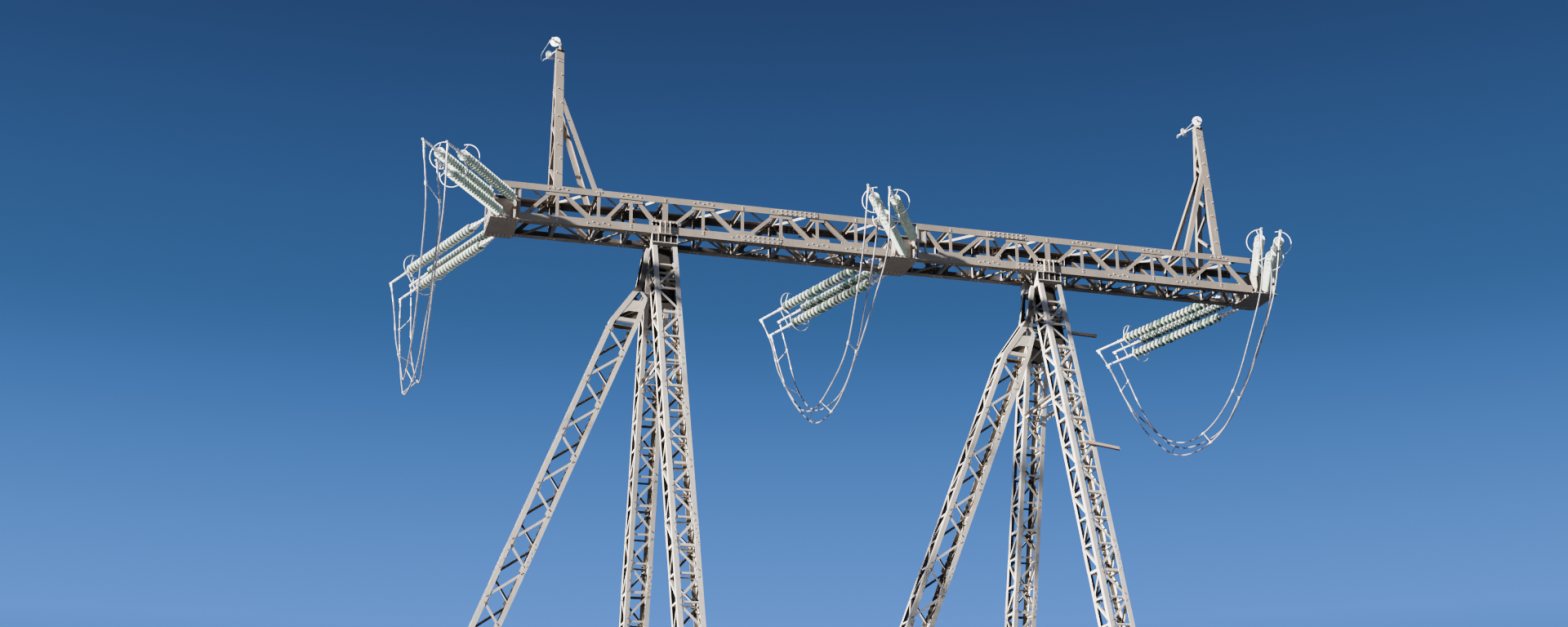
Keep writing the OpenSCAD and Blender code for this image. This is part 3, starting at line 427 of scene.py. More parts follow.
class Build:
    def __init__(self, name, mats, slot, body="root"):
        self.name, self.mats, self.slot, self.body = name, mats, slot, body
        self.v, self.f, self.m, self.s, self.uv = [], [], [], [], None
        self.plain = False   # True: bolts without chamfers

    def add(self, verts, faces, mat=0, soft=False):
        o = len(self.v)
        self.v += [tuple(p) for p in verts]
        for f in faces:
            self.f.append([i + o for i in f])
            self.m.append(mat)
            self.s.append(soft)

    def loft(self, rings, mat=0, soft=False, caps=True):
        n = len(rings[0])
        verts = [p for r in rings for p in r]
        faces = []
        for i in range(len(rings) - 1):
            for j in range(n):
                k = (j + 1) % n
                faces.append([i * n + j, i * n + k, (i + 1) * n + k, (i + 1) * n + j])
        self.add(verts, faces, mat, soft)
        if caps:
            o = len(self.v) - len(verts)
            self.f += [[o + j for j in reversed(range(n))], [o + (len(rings) - 1) * n + j for j in range(n)]]
            self.m += [mat, mat]
            self.s += [False, False]

    def prism(self, P, Q, n, poly, mat=0):
        """poly in the frame (n, a x n), run from P to Q."""
        a = (Q - P).normalized()
        e1, e2 = frame_of(a, n)
        self.loft([[P + x * e1 + y * e2 for x, y in poly], [Q + x * e1 + y * e2 for x, y in poly]], mat)

    def rod(self, P, Q, d, seg=12, mat=0, d2=None, soft=True):
        a = (Q - P).normalized()
        e1, e2 = frame_of(a, V(0, 0, 1) if abs(a.z) < 0.9 else V(1, 0, 0))
        c = [(math.cos(2 * math.pi * j / seg), math.sin(2 * math.pi * j / seg)) for j in range(seg)]
        self.loft([[P + (d / 2) * (x * e1 + y * e2) for x, y in c], [Q + ((d2 or d) / 2) * (x * e1 + y * e2) for x, y in c]], mat, soft)

    def lathe(self, P, a, prof, seg=24, mat=0, soft=True):
        """prof = [(radius, distance along a)], open; radius 0 closes it."""
        e1, e2 = frame_of(a, V(0, 0, 1) if abs(a.z) < 0.9 else V(1, 0, 0))
        rings = []
        for r, z in prof:
            r = max(r, 0.01)
            rings.append([P + z * a + r * (math.cos(2 * math.pi * j / seg) * e1 + math.sin(2 * math.pi * j / seg) * e2) for j in range(seg)])
        self.loft(rings, mat, soft, caps=False)

    def hexa(self, P, n, flat, h, mat=0, spin=0.0):
        """hexagonal head or nut standing on P along n, flat across its flats."""
        e1, e2 = frame_of(n, V(0, 0, 1) if abs(n.z) < 0.8 else V(1, 0, 0))
        r = flat / math.sqrt(3)
        c = [(math.cos(spin + math.pi * j / 3), math.sin(spin + math.pi * j / 3)) for j in range(6)]
        rings = [[P + r * (x * e1 + y * e2) for x, y in c],
                 [P + h * 0.8 * n + r * (x * e1 + y * e2) for x, y in c],
                 [P + h * n + r * 0.86 * (x * e1 + y * e2) for x, y in c]]
        self.loft(rings[::2] if self.plain else rings, mat)

    def bolt(self, P, n, size=16, grip=17, nut=True, mat=0, spin=0.0):
        """head on the side that n looks to, nut and end on the other, grip between them."""
        self.hexa(P - 1 * n, n, size * 1.5, size * 0.65 + 1, mat, spin)
        if nut:
            Q = P - grip * n
            self.hexa(Q + 1 * n, -n, size * 1.5, size * 0.8 + 1, mat, spin + 0.4)
            self.rod(Q - size * 0.7 * n, Q - size * 1.25 * n, size, 4 if self.plain else 6, mat, soft=False)

    def plate(self, P, e1, e2, pts, t, mat=0):
        """outline pts in (e1, e2) from P, t thick along e1 x e2."""
        n = e1.cross(e2).normalized()
        base = [P + x * e1 + y * e2 for x, y in pts]
        self.loft([base, [q + t * n for q in base]], mat)

    def angle(self, P, Q, n, s, w, t, mat=0):
        r = min(t * 0.6, w * 0.1)
        poly = [(0, 0), (w - r, 0), (w, r), (w, t), (t + 1.4 * r, t), (t + 0.4 * r, t + 0.4 * r), (t, t + 1.4 * r), (t, w), (r, w), (0, w - r)]
        if s < 0:
            poly = [(x, -y) for x, y in reversed(poly)]
        self.prism(P, Q, n, poly, mat)

    def brace(self, P, Q, n, o, b, t, c=0, mat=0):
        u = (Q - P).normalized()
        P, Q = P + c * u, Q - c * u
        r = 2.0
        self.prism(P, Q, n, [(o, -b / 2), (o + b - r, -b / 2), (o + b, -b / 2 + r), (o + b, -b / 2 + t), (o + t + 3, -b / 2 + t),
                             (o + t, -b / 2 + t + 3), (o + t, b / 2), (o + r, b / 2), (o, b / 2 - r)], mat)

    def arc(self, C, e1, e2, R, d, a0, a1, n=24, seg=10, mat=0):
        rings = []
        for i in range(n + 1):
            t = math.radians(a0 + (a1 - a0) * i / n)
            out = math.cos(t) * e1 + math.sin(t) * e2
            up = e1.cross(e2).normalized()
            rings.append([C + R * out + d / 2 * (math.cos(2 * math.pi * j / seg) * out + math.sin(2 * math.pi * j / seg) * up) for j in range(seg)])
        self.loft(rings, mat, True)

    def make(self):
        me = bpy.data.meshes.new(self.name)
        me.from_pydata([metres(p) for p in self.v], [], self.f)
        me.polygons.foreach_set("material_index", self.m)
        me.polygons.foreach_set("use_smooth", self.s)
        for x in self.mats:
            me.materials.append(x)
        me.update()
        o = bpy.data.objects.new(self.name, me)
        bpy.context.scene.collection.objects.link(o)
        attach(o, self.body)
        return o


# ------------------------------------------------------------------ cords
def tube(name, pts, d, mat, slot, sides=12):
    """A tube along pts (mm), with u in metres along it and v once round in the UV map 'lay'."""
    n = len(pts)
    rings, us = [], [0.0]
    e1 = None
    for i in range(n):
        t = (pts[min(i + 1, n - 1)] - pts[max(i - 1, 0)]).normalized()
        e1 = perp(V(1, 0, 0) if e1 is None else e1, t)
        e2 = t.cross(e1)
        rings.append([pts[i] + d / 2 * (math.cos(2 * math.pi * j / sides) * e1 + math.sin(2 * math.pi * j / sides) * e2) for j in range(sides)])
        if i:
            us.append(us[-1] + (pts[i] - pts[i - 1]).length / 1000)
    b = Build(name, [mat], slot)
    b.loft(rings, 0, True)
    me = bpy.data.meshes.new(name)
    me.from_pydata([metres(p) for p in b.v], [], b.f)
    me.polygons.foreach_set("use_smooth", b.s)
    me.materials.append(mat)
    uv = me.uv_layers.new(name="lay")
    k = 0
    for i in range(n - 1):
        for j in range(sides):
            for a, c in ((i, j), (i, j + 1), (i + 1, j + 1), (i + 1, j)):
                uv.data[k].uv = (us[a], c / sides)
                k += 1
    o = bpy.data.objects.new(name, me)
    bpy.context.scene.collection.objects.link(o)
    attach(o, "root")
    return o, us[-1]


PHASES = ("left", "centre", "right")
for p, pn in enumerate(PHASES):
    for k in range(3):
        pts = smooth(jumper_path(p, k), 8)
        o, _ = tube(f"cable_{pn}_{k + 1}", pts, JUMPER_D, CABLE, "cable_aluminium")
        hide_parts(f"jumper_{pn}_{k + 1}")
for m, mn in ((-1, "left"), (1, "right")):
    A = peak_at(m, -1, 540) + V(-65, 0, -41)
    B = peak_at(m, 1, 630) + V(-65, 0, -41)
    ctrl = [A, A + V(-60, 90, -90), (A + B) / 2 + V(-150, -60, -190), B + V(-70, -120, -120), B]
    pts = smooth(ctrl, 10)
    o, _ = tube(f"loop_{mn}", pts, 14, LOOP, "cable_aluminium", 10)
    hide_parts(f"earth_loop_{mn}")


# ------------------------------------------------------------------ insulator strings
CROWN = [(50, 58), (62, 60), (80, 66), (94, 73)]
SHED = [(94, 73), (108, 80), (119, 90), (125.5, 101), (127, 109), (125.5, 115), (121, 117)]
RIBS = [(121, 117), (115, 106), (109, 121), (103, 121), (98, 103), (88, 99), (84, 122), (78, 122), (73, 98), (62, 95),
        (57, 117), (50, 117), (42, 97), (30, 94)]
CAPP = [(0, -6), (24, -6), (34, 2), (38, 16), (40, 34), (47, 48), (51, 60), (51, 66), (40, 67)]
PIN = [(26, 94), (24, 106), (12, 112), (11, 136), (15, 141)]
for p, pn in enumerate(PHASES):
    b = Build(f"insulators_{pn}", [GLASS, CAP, GLASS_RIB_PAINTED_LIGHT, GLASS_CROWN_SHADE], "insulator_glass")
    for s in (-1, 1):
        for k in range(3):
            a, P = sdir(p, s), disc0(p, s, k)
            for i in range(DISC_N):
                Q = P + i * DISC_P * a
                # on the far strings a few discs, as in the photograph, take the dark crown glass on their sheds too
                dark = s > 0 and p > 0 and (7 * i + 5 * k + 3 * p) % 10 in (0, 4)
                # the crown round the cap in dark glass: painted shade where the disc before shades it
                b.lathe(Q, a, CROWN, 20, 3)
                b.lathe(Q, a, SHED, 20, 3 if dark else 0)
                # ribs in the pale glass: painted light on the shaded undersides
                b.lathe(Q, a, RIBS, 20, 2)
                b.lathe(Q, a, CAPP, 12, 1)
                b.lathe(Q, a, PIN, 8, 1)
    o = b.make()
    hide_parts(f"strings_{pn}")


# ------------------------------------------------------------------ string fittings: shackles, bolts, eyes
def fitting_detail():
    for p, pn in enumerate(PHASES):
        b = Build(f"shackles_{pn}", [ALLOY, BOLT], "fitting_alloy")
        for s in (-1, 1):
            for k in range(3):
                a, P, D0, D1, T = sdir(p, s), lug(p, s, k), disc0(p, s, k), disc1(p, s, k), terminal(p, s, k)
                up, side = frame_of(a, V(0, 0, 1))
                # bow shackle at the phase box
                for q in (-34, 34):
                    b.rod(P - 60 * a + q * side, P + 34 * a + q * side, 26, 10)
                    b.lathe(P - 60 * a + q * side - 15 * side, side, [(0, 0), (27, 0), (30, 4), (30, 26), (27, 30), (0, 30)], 14)
                b.rod(P - 60 * a - 66 * side, P - 60 * a + 66 * side, 26, 10, 1)
                b.hexa(P - 60 * a + 50 * side, side, 42, 18, 1)
                b.hexa(P - 60 * a - 50 * side, -side, 42, 18, 1)
                b.arc(P + 34 * a, side, a, 34, 26, 0, 180, 10, 10)
                # eye and twist link up to the first cap
                b.lathe(P + 84 * a - 20 * side, side, [(20, 0), (38, 0), (40, 5), (40, 35), (38, 40), (20, 40)], 16)
                n = 1 if link(s, k) < 400 else 3
                L = link(s, k) - 130
                for i in range(n):
                    A, B = P + (110 + i * L / n) * a, P + (110 + (i + 1) * L / n) * a
                    e = up if i % 2 else side
                    f = side if i % 2 else up
                    for q in (-24, 24):
                        b.plate(A + q * e - 4 * e, a, f, [(0, -22), (12, -30), (L / n - 12, -30), (L / n, -22), (L / n, 22), (L / n - 12, 30), (12, 30), (0, 22)], 8)
                    for C in (A + 28 * a, B - 28 * a):
                        b.rod(C - 40 * e, C + 40 * e, 20, 8, 1)
                        b.hexa(C + 30 * e, e, 32, 14, 1)
                        b.hexa(C - 30 * e, -e, 32, 14, 1)
                if n == 3:
                    # the long links end in a row of tapering collars before the first disc
                    for i, r in enumerate((92, 74, 56, 44)):
                        C = D0 - (96 + 146 * i) * a
                        if (C - P).dot(a) > 120:
                            b.lathe(C, a, [(16, -24), (0.55 * r, -20), (r, -4), (r, 6), (0.6 * r, 18), (20, 24), (16, 30)], 16)
                # line end: socket eye, clevis, clamp body with its bolts
                b.lathe(D1 - 12 * a, a, [(0, 0), (36, 2), (42, 20), (40, 60), (26, 92), (22, 130), (0, 132)], 16)
                for q in (-26, 26):
                    b.plate(D1 + 118 * a + q * up - 4 * up, a, side, [(0, -26), (14, -34), (176, -34), (190, -26), (190, 26), (176, 34), (14, 34), (0, 26)], 8)
                for c in (146, 282):
                    C = D1 + c * a
                    b.rod(C - 42 * up, C + 42 * up, 22, 8, 1)
                    b.hexa(C + 32 * up, up, 34, 15, 1)
                    b.hexa(C - 32 * up, -up, 34, 15, 1)
                # bracket of the ring on the clevis
                b.plate(D1 + 40 * a - 60 * side - 46 * up, a, side, [(0, 0), (70, 0), (70, 120), (0, 120)], 8)
                # dead-end body: hexagonal crimp zones
                body = (T - D1).length
                for c0, c1 in ((330, 0.5 * body), (0.58 * body, body - 60)):
                    if c1 - c0 > 90:
                        b.hexa(D1 + c0 * a, a, 54, c1 - c0, 0)
                b.lathe(T + 44 * a, a, [(25, -10), (29, 0), (29, 12), (26, 20), (17, 20), (16, 6)], 16)
                # flag of the jumper and its bolts
                u = lead(p, s, k)
                fx = perp(a, u)
                fy = u.cross(fx)
                b.plate(T + 40 * u - 40 * fx - 8 * fy, fx, u, [(0, 0), (80, 0), (80, 120), (66, 132), (14, 132), (0, 120)], 16)
                for i in (-20, 20):
                    for j in (72, 118):
                        C = T + j * u + i * fx
                        b.hexa(C + 7 * fy, fy, 24, 12, 1)
                        b.hexa(C - 7 * fy, -fy, 24, 14, 1)
                b.lathe(T + 226 * u, u, [(22, -6), (26, 0), (26, 26), (23, 60), (23, 150), (18, 190), (18, 192)], 14)
        # armour sleeves over the far ends of the jumpers, and short ones lower down
        for k in range(3):
            pts = smooth(jumper_path(p, k), 8)
            for r0, r1 in ((330, 800), (1650 + 120 * k, 2050 + 120 * k)):
                run, rings = 0.0, []
                for i in range(len(pts) - 1, 1, -1):
                    run += (pts[i] - pts[i - 1]).length
                    if r0 <= run <= r1:
                        a = (pts[i - 2] - pts[i]).normalized()
                        e1, e2 = frame_of(a, V(1, 0, 0))
                        rings.append([pts[i - 1] + 20.5 * (math.cos(math.pi * j / 5) * e1 + math.sin(math.pi * j / 5) * e2) for j in range(10)])
                if len(rings) > 1:
                    b.loft(rings, 0, True)
        b.make()


fitting_detail()


# ------------------------------------------------------------------ leg details
def splay_y(z):
    return HD + 20 + SK * (HEAD_Z - z)


def outer_x(z):
    return -50 - OK * (HEAD_Z - z)


def lean_x(z):
    return 0.012 * (HEAD_Z - z)


def at_z(T, M, z):
    return M + (T - M) * ((z - M.z) / (T.z - M.z))


def corners(x0, which):
    w = LEG_W / 2
    if which:
        s = which
        zT = HEAD_Z - 20
        yi = splay_y(INNER_Z) - SPLAY_RUN
        T = [V(x0 - w, s * splay_y(zT), zT), V(x0 + w, s * splay_y(zT), zT),
             V(x0 + w + lean_x(INNER_Z), s * yi, INNER_Z), V(x0 - w + lean_x(INNER_Z), s * yi, INNER_Z)]
        yM, xM = splay_y(SHOE_Z), x0 + lean_x(SHOE_Z)
        M = [V(xM - w, s * yM, SHOE_Z), V(xM + w, s * yM, SHOE_Z), V(xM + w, s * (yM - SPLAY_RUN), SHOE_Z), V(xM - w, s * (yM - SPLAY_RUN), SHOE_Z)]
        xF, yF = x0 + lean_x(0), splay_y(60) - SPLAY_RUN / 2
        F = [V(xF - TIP, s * (yF + TIP), 60), V(xF + TIP, s * (yF + TIP), 60), V(xF + TIP, s * (yF - TIP), 60), V(xF - TIP, s * (yF - TIP), 60)]
        return T, M, F, 0
    xk = x0 + outer_x(KINK_Z)
    T = [V(xk - OUTER_RUN / 2 - 70, -w, KINK_Z), V(xk - OUTER_RUN / 2 - 70, w, KINK_Z), V(xk + OUTER_RUN / 2, w, KINK_Z), V(xk + OUTER_RUN / 2, -w, KINK_Z)]
    xM = x0 + outer_x(OUTER_SHOE_Z)
    M = [V(xM - OUTER_RUN / 2, -w, OUTER_SHOE_Z), V(xM - OUTER_RUN / 2, w, OUTER_SHOE_Z), V(xM + OUTER_RUN / 2, w, OUTER_SHOE_Z), V(xM + OUTER_RUN / 2, -w, OUTER_SHOE_Z)]
    xF = x0 + outer_x(60)
    F = [V(xF - TIP, -TIP, 60), V(xF - TIP, TIP, 60), V(xF + TIP, TIP, 60), V(xF + TIP, -TIP, 60)]
    return T, M, F, 1


def leg_detail(name, x0, which):
    T, M, F, ph = corners(x0, which)
    b = Build(name, [STEEL_LEGS[which], BOLT], "lattice_steel")
    b.plain = True
    ctr = (T[0] + T[1] + T[2] + T[3]) / 4
    zs = M[0].z
    n = int((min(q.z for q in T) - 150 - zs) // PANEL)
    for i in range(4):
        j = (i + 1) % 4
        nf = (M[i] - T[i]).cross(T[j] - T[i]).normalized()
        nn = nf if nf.dot(ctr - T[i]) > 0 else -nf
        for k in range(n + 1):
            z = zs + k * PANEL
            Pi, Pj = at_z(T[i], M[i], z), at_z(T[j], M[j], z)
            c_i = (k + i + ph) % 2 == 1
            N, O = (Pi, Pj) if c_i else (Pj, Pi)
            ax = (T[i] - M[i]).normalized() if c_i else (T[j] - M[j]).normalized()
            across = perp(O - N, ax)
            # level batten between the two corners
            if which or i % 2 == 0:
                b.brace(Pi, Pj, nn, LEG_CT + 4.5, 45 if k % 3 else 62, 5, 62)
            # node plate behind the chord's flange
            pts = [(-95, 14), (95, 14), (100, 60), (60, 150), (-60, 150), (-100, 60)]
            e1, e2 = ax, across
            if e1.cross(e2).dot(nn) < 0:
                pts = [(-x, y) for x, y in reversed(pts)]
                e1 = -ax
            b.plate(N + (LEG_CT - 1.5) * nn, e1, e2, pts, 6)
            # bolts through the ends of the braces
            for up in (-1, 1):
                if (up < 0 and k == 0) or (up > 0 and k == n):
                    continue
                zo = z + up * PANEL
                E = at_z(T[j], M[j], zo) if c_i else at_z(T[i], M[i], zo)
                u = (E - N).normalized()
                for d in (98, 136):
                    b.bolt(N + d * u, -nn, 16, LEG_CT + 6, True, 1, spin=d)
                # the same brace's other end
                for d in (98, 136):
                    b.bolt(E - d * u, -nn, 16, LEG_CT + 6, True, 1, spin=d)
    if not which:
        # broad gussets at the kink, on the front and the back face
        W = (T[3] - T[0]).x
        for q in (-1, 1):
            b.plate(V(T[0].x, q * (LEG_W / 2 - LEG_CT - 6) - (3 if q > 0 else -3) - 3, T[0].z), V(1, 0, 0), V(0, 0, 1),
                    [(180, 190), (W + 30, 190), (W + 120, 470), (400, 470)], 6)
    # splice covers on the corners
    for i in range(4):
        j, h = (i + 1) % 4, (i + 3) % 4
        a = (M[i] - T[i]).normalized()
        n1 = perp(T[j] - T[i], a)
        s = 1 if a.cross(n1).dot(T[h] - T[i]) > 0 else -1
        side = a.cross(n1) * s
        for z in (zs + 6.5 * PANEL, zs + 15.5 * PANEL):
            C = at_z(T[i], M[i], z)
            out = -(n1 + side) * 5.0
            b.angle(C - 330 * a + out, C + 330 * a + out, n1, s, LEG_CW - 8, 7)
            for q in range(6):
                for w in (42, 78):
                    if (q + (w > 50)) % 2 == 0:
                        continue
                    D = C + (-275 + q * 110) * a
                    b.bolt(D + w * n1 - 5 * side, -side, 16, LEG_CT + 6, True, 1)
                    b.bolt(D + w * side - 5 * n1, -n1, 16, LEG_CT + 6, True, 1)
    b.make()


for x0, sn in ((SUP[0], "left"), (SUP[1], "right")):
    for which, wn in ((0, "outer"), (-1, "near"), (1, "far")):
        leg_detail(f"leg_detail_{sn}_{wn}", x0, which)


# ------------------------------------------------------------------ beam details
def beam_detail():
    for side, sn in ((-1, "front"), (1, "rear")):
        b = Build(f"beam_bolts_{sn}", [BOLT], "lattice_steel")
        y = side * HD
        out = V(0, side, 0)
        for i in range(1, 21):
            if i in (10, 11):
                continue
            x, top = PAN[i], UP[i] == 1
            L = 560 if top else 620
            for q in range(5):
                dx = -L / 2 + 50 + q * (L - 100) / 4
                zc = ZT - 62 if top else ZB + 112
                b.bolt(V(x + dx, y, zc + (18 if q % 2 else -18)), out, 20, CHORD_T + 12)
            for zc in (ZB + 96, ZB + 152) if top else (ZT - 62, ZT - 112):
                b.bolt(V(x, y, zc), out, 20, CHORD_T + 8)
        for x, w, z in ((-2750, TOP_W, ZT - TOP_W / 2), (2750, TOP_W, ZT - TOP_W / 2), (-3700, BOT_W, ZB + BOT_W / 2), (3500, BOT_W, ZB + BOT_W / 2)):
            for q in range(8):
                for r in (-1, 1):
                    b.bolt(V(x - 430 + q * 123, y + side * 9, z + r * w * 0.26), out, 20, CHORD_T + 14)
        b.make()
    b = Build("beam_bolts_level", [BOLT], "lattice_steel")
    for top in (0, 1):
        z = ZT if top else ZB
        out = V(0, 0, 1 if top else -1)
        for i in range(0, 22):
            if i in (10, 11):
                continue
            for sy in (-1, 1):
                for d in (-95, 0, 95) if 0 < i < 21 else (0,):
                    b.bolt(V(PAN[i] + d, sy * (HD - (58 if top else 92) - (0 if d else 30)), z), out, 20, CHORD_T + 8)
    b.make()


beam_detail()


# ------------------------------------------------------------------ heads, phase boxes, peaks, shoes
def head_detail():
    for x0, sn in ((SUP[0], "left"), (SUP[1], "right")):
        b = Build(f"head_bolts_{sn}", [STEEL, BOLT, SHADE], "lattice_steel")
        for s in (-1, 1):
            y1 = -HD - 22 if s < 0 else HD + 22 - 260
            yo = y1 if s < 0 else y1 + 260
            for i in range(4):
                xc = x0 - 232 + i * 155
                b.bolt(V(xc, yo - s * 40, HEAD_Z), V(0, 0, -1), 24, 24, True, 1)
                b.bolt(V(xc, yo - s * 96, ZB - 22), V(0, 0, -1), 24, 22 + CHORD_T, True, 1)
                b.bolt(V(xc, yo - s * 96, HEAD_Z), V(0, 0, -1), 24, 24, True, 1)
            for i in (-1, 1):
                for z in (ZB + 60, ZB + 130, ZB + 250):
                    b.bolt(V(x0 + i * 60, s * (HD + 0), z), V(0, s, 0), 20, CHORD_T + 12, True, 1)
                for z in (ZB + 232, ZB + 318):
                    b.bolt(V(x0 + i * 215, s * (HD - CHORD_T + 2), z), V(0, s, 0), 20, 26, True, 1)
                    b.bolt(V(x0 + i * 305, s * (HD - CHORD_T + 2), z), V(0, s, 0), 20, 26, True, 1)
            # gusset behind the chord's flange and a wide cover on the post
            e1 = V(-s, 0, 0)
            b.plate(V(x0, s * (HD - CHORD_T - 8), ZB), e1, V(0, 0, 1),
                    [(-388, 150), (388, 150), (388, 300), (350, 366), (-350, 366), (-388, 300)], 10, 0)
            b.plate(V(x0, s * (HD - CHORD_T + 2), ZB), e1, V(0, 0, 1),
                    [(-71, 206), (71, 206), (71, BEAM_H - 164), (-71, BEAM_H - 164)], 6, 0)
            # stiffening plates inside the leg's top, near-black as painted shade, and bars between them
            for z0, z1 in ((HEAD_Z - 640, HEAD_Z - 70), (HEAD_Z - 1780, HEAD_Z - 1160)):
                w0, w1 = V(x0 - 225 + lean_x(z0), s * (splay_y(z0) - 300), z0), V(x0 - 225 + lean_x(z1), s * (splay_y(z1) - 300), z1)
                up = (w1 - w0).normalized()
                b.plate(w0, V(1, 0, 0), up, [(0, 0), (450, 0), (450, (w1 - w0).length), (0, (w1 - w0).length)], 8, 2)
            for z in (HEAD_Z - 1060, HEAD_Z - 920, HEAD_Z - 780):
                C = V(x0 + lean_x(z), s * (splay_y(z) - 300), z)
                b.angle(C - V(250, 0, 0), C + V(250, 0, 0), V(0, 0, 1), s, 60, 6, 0)
            # near-black plates in the head's four cells, set back from its edge: painted shade
            for i in range(4):
                b.plate(V(x0 - 232 + i * 155, s * (HD - 6), HEAD_Z + 23), e1, V(0, 0, 1), [(-66, 0), (66, 0), (66, 194), (-66, 194)], 8, 2)
            # near-black strip under the head, set back from the leg's faces: painted shade
            yf = splay_y(HEAD_Z - 60)
            b.plate(V(x0, s * (yf - 4), HEAD_Z - 104), e1, V(0, 0, 1), [(-306, 0), (306, 0), (306, 82), (-306, 82)], 12, 2)
        b.make()


head_detail()


def box_detail():
    for p, pn in enumerate(PHASES):
        b = Build(f"box_bolts_{pn}", [STEEL_BOX, BOLT], "box_steel")
        x = px(p)
        lo = -336 if p == 0 else -360
        hi = 336 if p == 2 else 360
        for i in range(7):
            for y in (-585, -470, 470, 560):
                b.bolt(V(x + lo + 50 + i * (hi - lo - 100) / 6, y, ZB - 14), V(0, 0, -1), 16, 14 + 8, True, 1)
        for m in (-1, 1):
            for y in (-590, -420, 430, 600):
                for z in (60, 300, 540):
                    b.bolt(V(x + m * (STRING_A + 10), y, ZB + z), V(m, 0, 0), 16, 20, True, 1)
            # doubling plates round the lug holes
            for s, y in ((-1, -608), (1, 650)):
                for q in (-1, 1):
                    b.lathe(V(x + m * STRING_A + q * 10, y, ZB + 484), V(q, 0, 0), [(22, -1), (22, 7), (48, 7), (52, 4), (52, -1)], 20, 0, False)
        b.make()


box_detail()


def peak_detail():
    za, zf = ZT + PEAK_H, ZT - 130
    for m, mn in ((-1, "left"), (1, "right")):
        b = Build(f"peak_detail_{mn}", [STEEL, BOLT], "lattice_steel")
        x = m * PEAK_X
        for s in (-1, 1):
            def yy(z):
                return s * (HD - (HD - 75) * (z - zf) / (za - zf))
            xa = x - PEAK_W / 2 + (0 if s < 0 else 4)
            for i, z in enumerate([130, 830, 1380, 1930, 2430, 2830, 3230, 3560]):
                e = -1 if i % 2 == 0 else 1
                if e == s:
                    P = V(xa, yy(ZT + z), ZT + z)
                    along = V(0, yy(ZT + z + 100) - yy(ZT + z), 100).normalized()
                    inward = V(0, -s, 0)
                    b.plate(P - 110 * along + 16 * V(1, 0, 0), along, inward, [(0, 10), (220, 10), (200, 110), (60, 130), (20, 110)] , 6)
                    for d in (-60, 0, 60):
                        b.bolt(P + d * along + 45 * inward, V(-1, 0, 0), 16, 20, True, 1)
            # step bolts up the front corner
            if s < 0:
                for q in range(9):
                    z = zf + 500 + q * 400
                    P = V(xa + 60 + (q % 2) * 80, yy(z), z)
                    b.rod(P + V(0, 6, 0), P + V(0, -86, 0), 14, 8, 1)
                    b.hexa(P + V(0, -86, 0), V(0, -1, 0), 24, 9, 1)
                    b.hexa(P + V(0, -1, 0), V(0, -1, 0), 24, 10, 1)
            # foot plates of the struts and of the main angles
            fx = x - m * 1000
            b.plate(V(fx - 90, s * (HD - 22), ZT - 2), V(1, 0, 0), V(0, 0, 1), [(0, 0), (180, 0), (176, 26), (140, 52), (40, 52), (4, 26)], 10)
            for d in (-60, 0, 60):
                b.bolt(V(fx + d, s * (HD + 0), ZT - 50), V(0, s, 0), 20, 28, True, 1)
                b.bolt(V(x - 30 + d, s * (HD + 0), ZT - 70), V(0, s, 0), 20, 28, True, 1)
        b.make()


peak_detail()


# ------------------------------------------------------------------ materials on the CAD nodes
def paint(node, mat):
    me = NODES[node].data
    me.materials.clear()
    me.materials.append(mat)


for n in NODES:
    if n.startswith("leg"):
        paint(n, STEEL_LEGS[0 if n.endswith("outer") else -1 if n.endswith("near") else 1])
    elif n.startswith("head"):
        paint(n, STEEL_LEG)
    elif n in ("beam_chords_rear", "beam_lattice_rear"):
        paint(n, STEEL_REAR)
    elif n == "beam_lattice_bottom":
        paint(n, STEEL_LOW)
    elif n.startswith("beam") or n.startswith("peak"):
        paint(n, STEEL)
    elif n.startswith("phase_box"):
        paint(n, STEEL_BOX)
    elif n.startswith("shoes"):
        paint(n, STEEL_BASE)
    elif n.startswith("tie_frame"):
        paint(n, STEEL_TIE)
    elif n.startswith("fittings") or n.startswith("spacers") or n.startswith("earthwire"):
        paint(n, ALLOY)


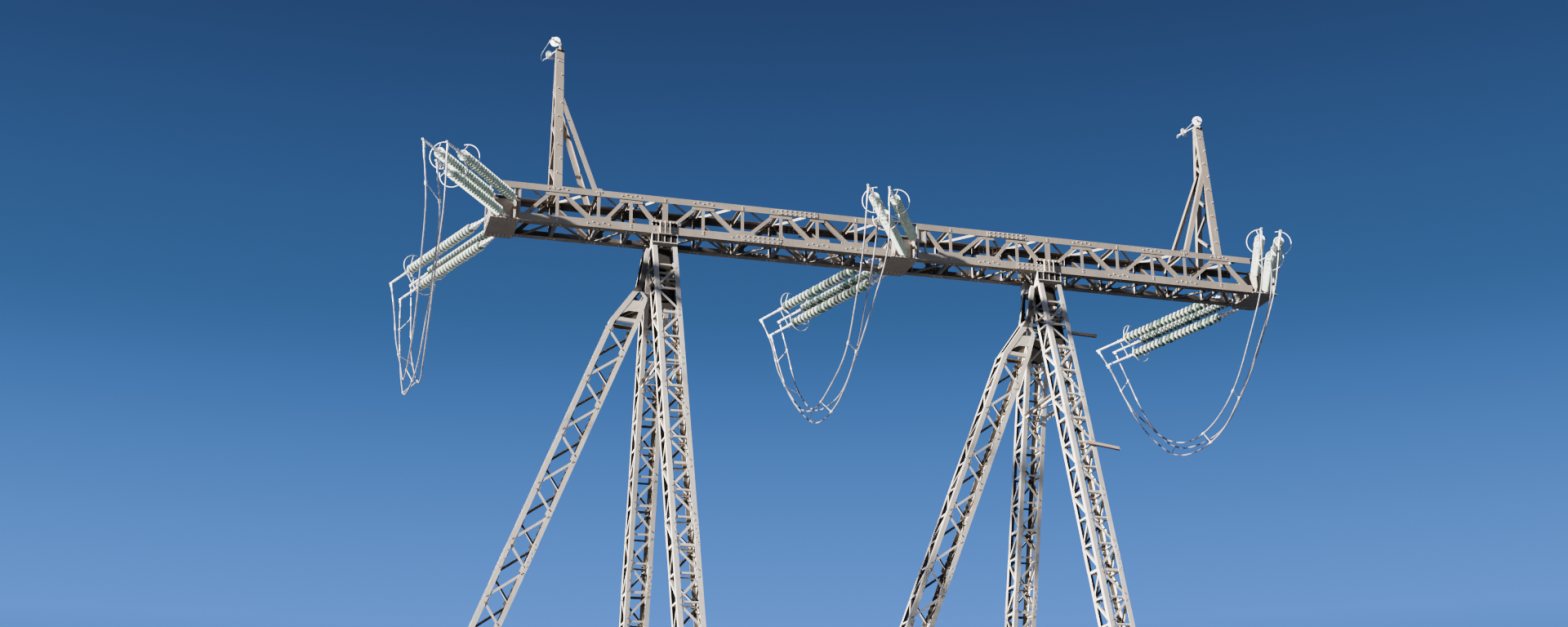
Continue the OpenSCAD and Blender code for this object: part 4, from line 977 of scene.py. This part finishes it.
# ------------------------------------------------------------------ stage and light
def make_stage():
    me = bpy.data.meshes.new("floor")
    R, n = 15.5, 96
    ring = [(R * math.cos(2 * math.pi * j / n), R * math.sin(2 * math.pi * j / n)) for j in range(n)]
    me.from_pydata([(x, y, 0) for x, y in ring] + [(x * 1.006, y * 1.006, -0.12) for x, y in ring], [],
                   [list(range(n))] + [[j, n + j, n + (j + 1) % n, (j + 1) % n] for j in range(n)])
    o = bpy.data.objects.new("floor", me)
    bpy.context.scene.collection.objects.link(o)
    m = Mat("floor_pale", rough=0.9)
    m.set("Base Color", m.ramp(m.noise(0.6, 3), [(0.3, (0.36, 0.36, 0.35)), (0.7, (0.40, 0.40, 0.39))]))
    me.materials.append(m.m)
    w = bpy.data.worlds.new("studio")
    bpy.context.scene.world = w
    w.use_nodes = True
    bg = w.node_tree.nodes["Background"]
    nt = w.node_tree
    tc, sep, ramp = nt.nodes.new("ShaderNodeTexCoord"), nt.nodes.new("ShaderNodeSeparateXYZ"), nt.nodes.new("ShaderNodeValToRGB")
    nt.links.new(tc.outputs["Generated"], sep.inputs[0])
    nt.links.new(sep.outputs["Z"], ramp.inputs["Fac"])
    steps = ((0.0, (0.035, 0.065, 0.12)), (0.13, (0.10, 0.20, 0.42)), (0.19, (0.125, 0.27, 0.66)), (0.34, (0.068, 0.14, 0.30)),
             (0.49, (0.046, 0.078, 0.175)), (1.0, (0.040, 0.070, 0.16)))
    while len(ramp.color_ramp.elements) < len(steps):
        ramp.color_ramp.elements.new(0.5)
    for e, (at, c) in zip(ramp.color_ramp.elements, steps):
        e.position, e.color = at, (*c, 1)
    nt.links.new(ramp.outputs["Color"], bg.inputs["Color"])
    bg.inputs["Strength"].default_value = 1.0
    sun = bpy.data.lights.new("key", "SUN")
    sun.energy = 12.0
    sun.angle = math.radians(2.5)
    sun.color = (1.0, 0.94, 0.87)
    so = bpy.data.objects.new("key", sun)
    bpy.context.scene.collection.objects.link(so)
    # light comes from the left and a little from the front, 17 degrees up
    az, el = math.radians(16), math.radians(17)
    d = V(math.cos(az) * math.cos(el), math.sin(az) * math.cos(el), -math.sin(el))
    so.rotation_mode = "QUATERNION"
    so.rotation_quaternion = d.to_track_quat("-Z", "Y")
    so.location = (-20, -20, 40)
    # a weak, very soft fill from the front
    fill = bpy.data.lights.new("fill", "SUN")
    fill.energy = 0.5
    fill.angle = math.radians(70)
    fill.color = (1.0, 0.95, 0.80)
    fo = bpy.data.objects.new("fill", fill)
    bpy.context.scene.collection.objects.link(fo)
    fo.rotation_mode = "QUATERNION"
    fo.rotation_quaternion = V(0.15, 0.92, 0.30).normalized().to_track_quat("-Z", "Y")
    fo.location = (0, -30, 2)


make_stage()
bpy.context.scene.view_settings.look = "AgX - High Contrast"
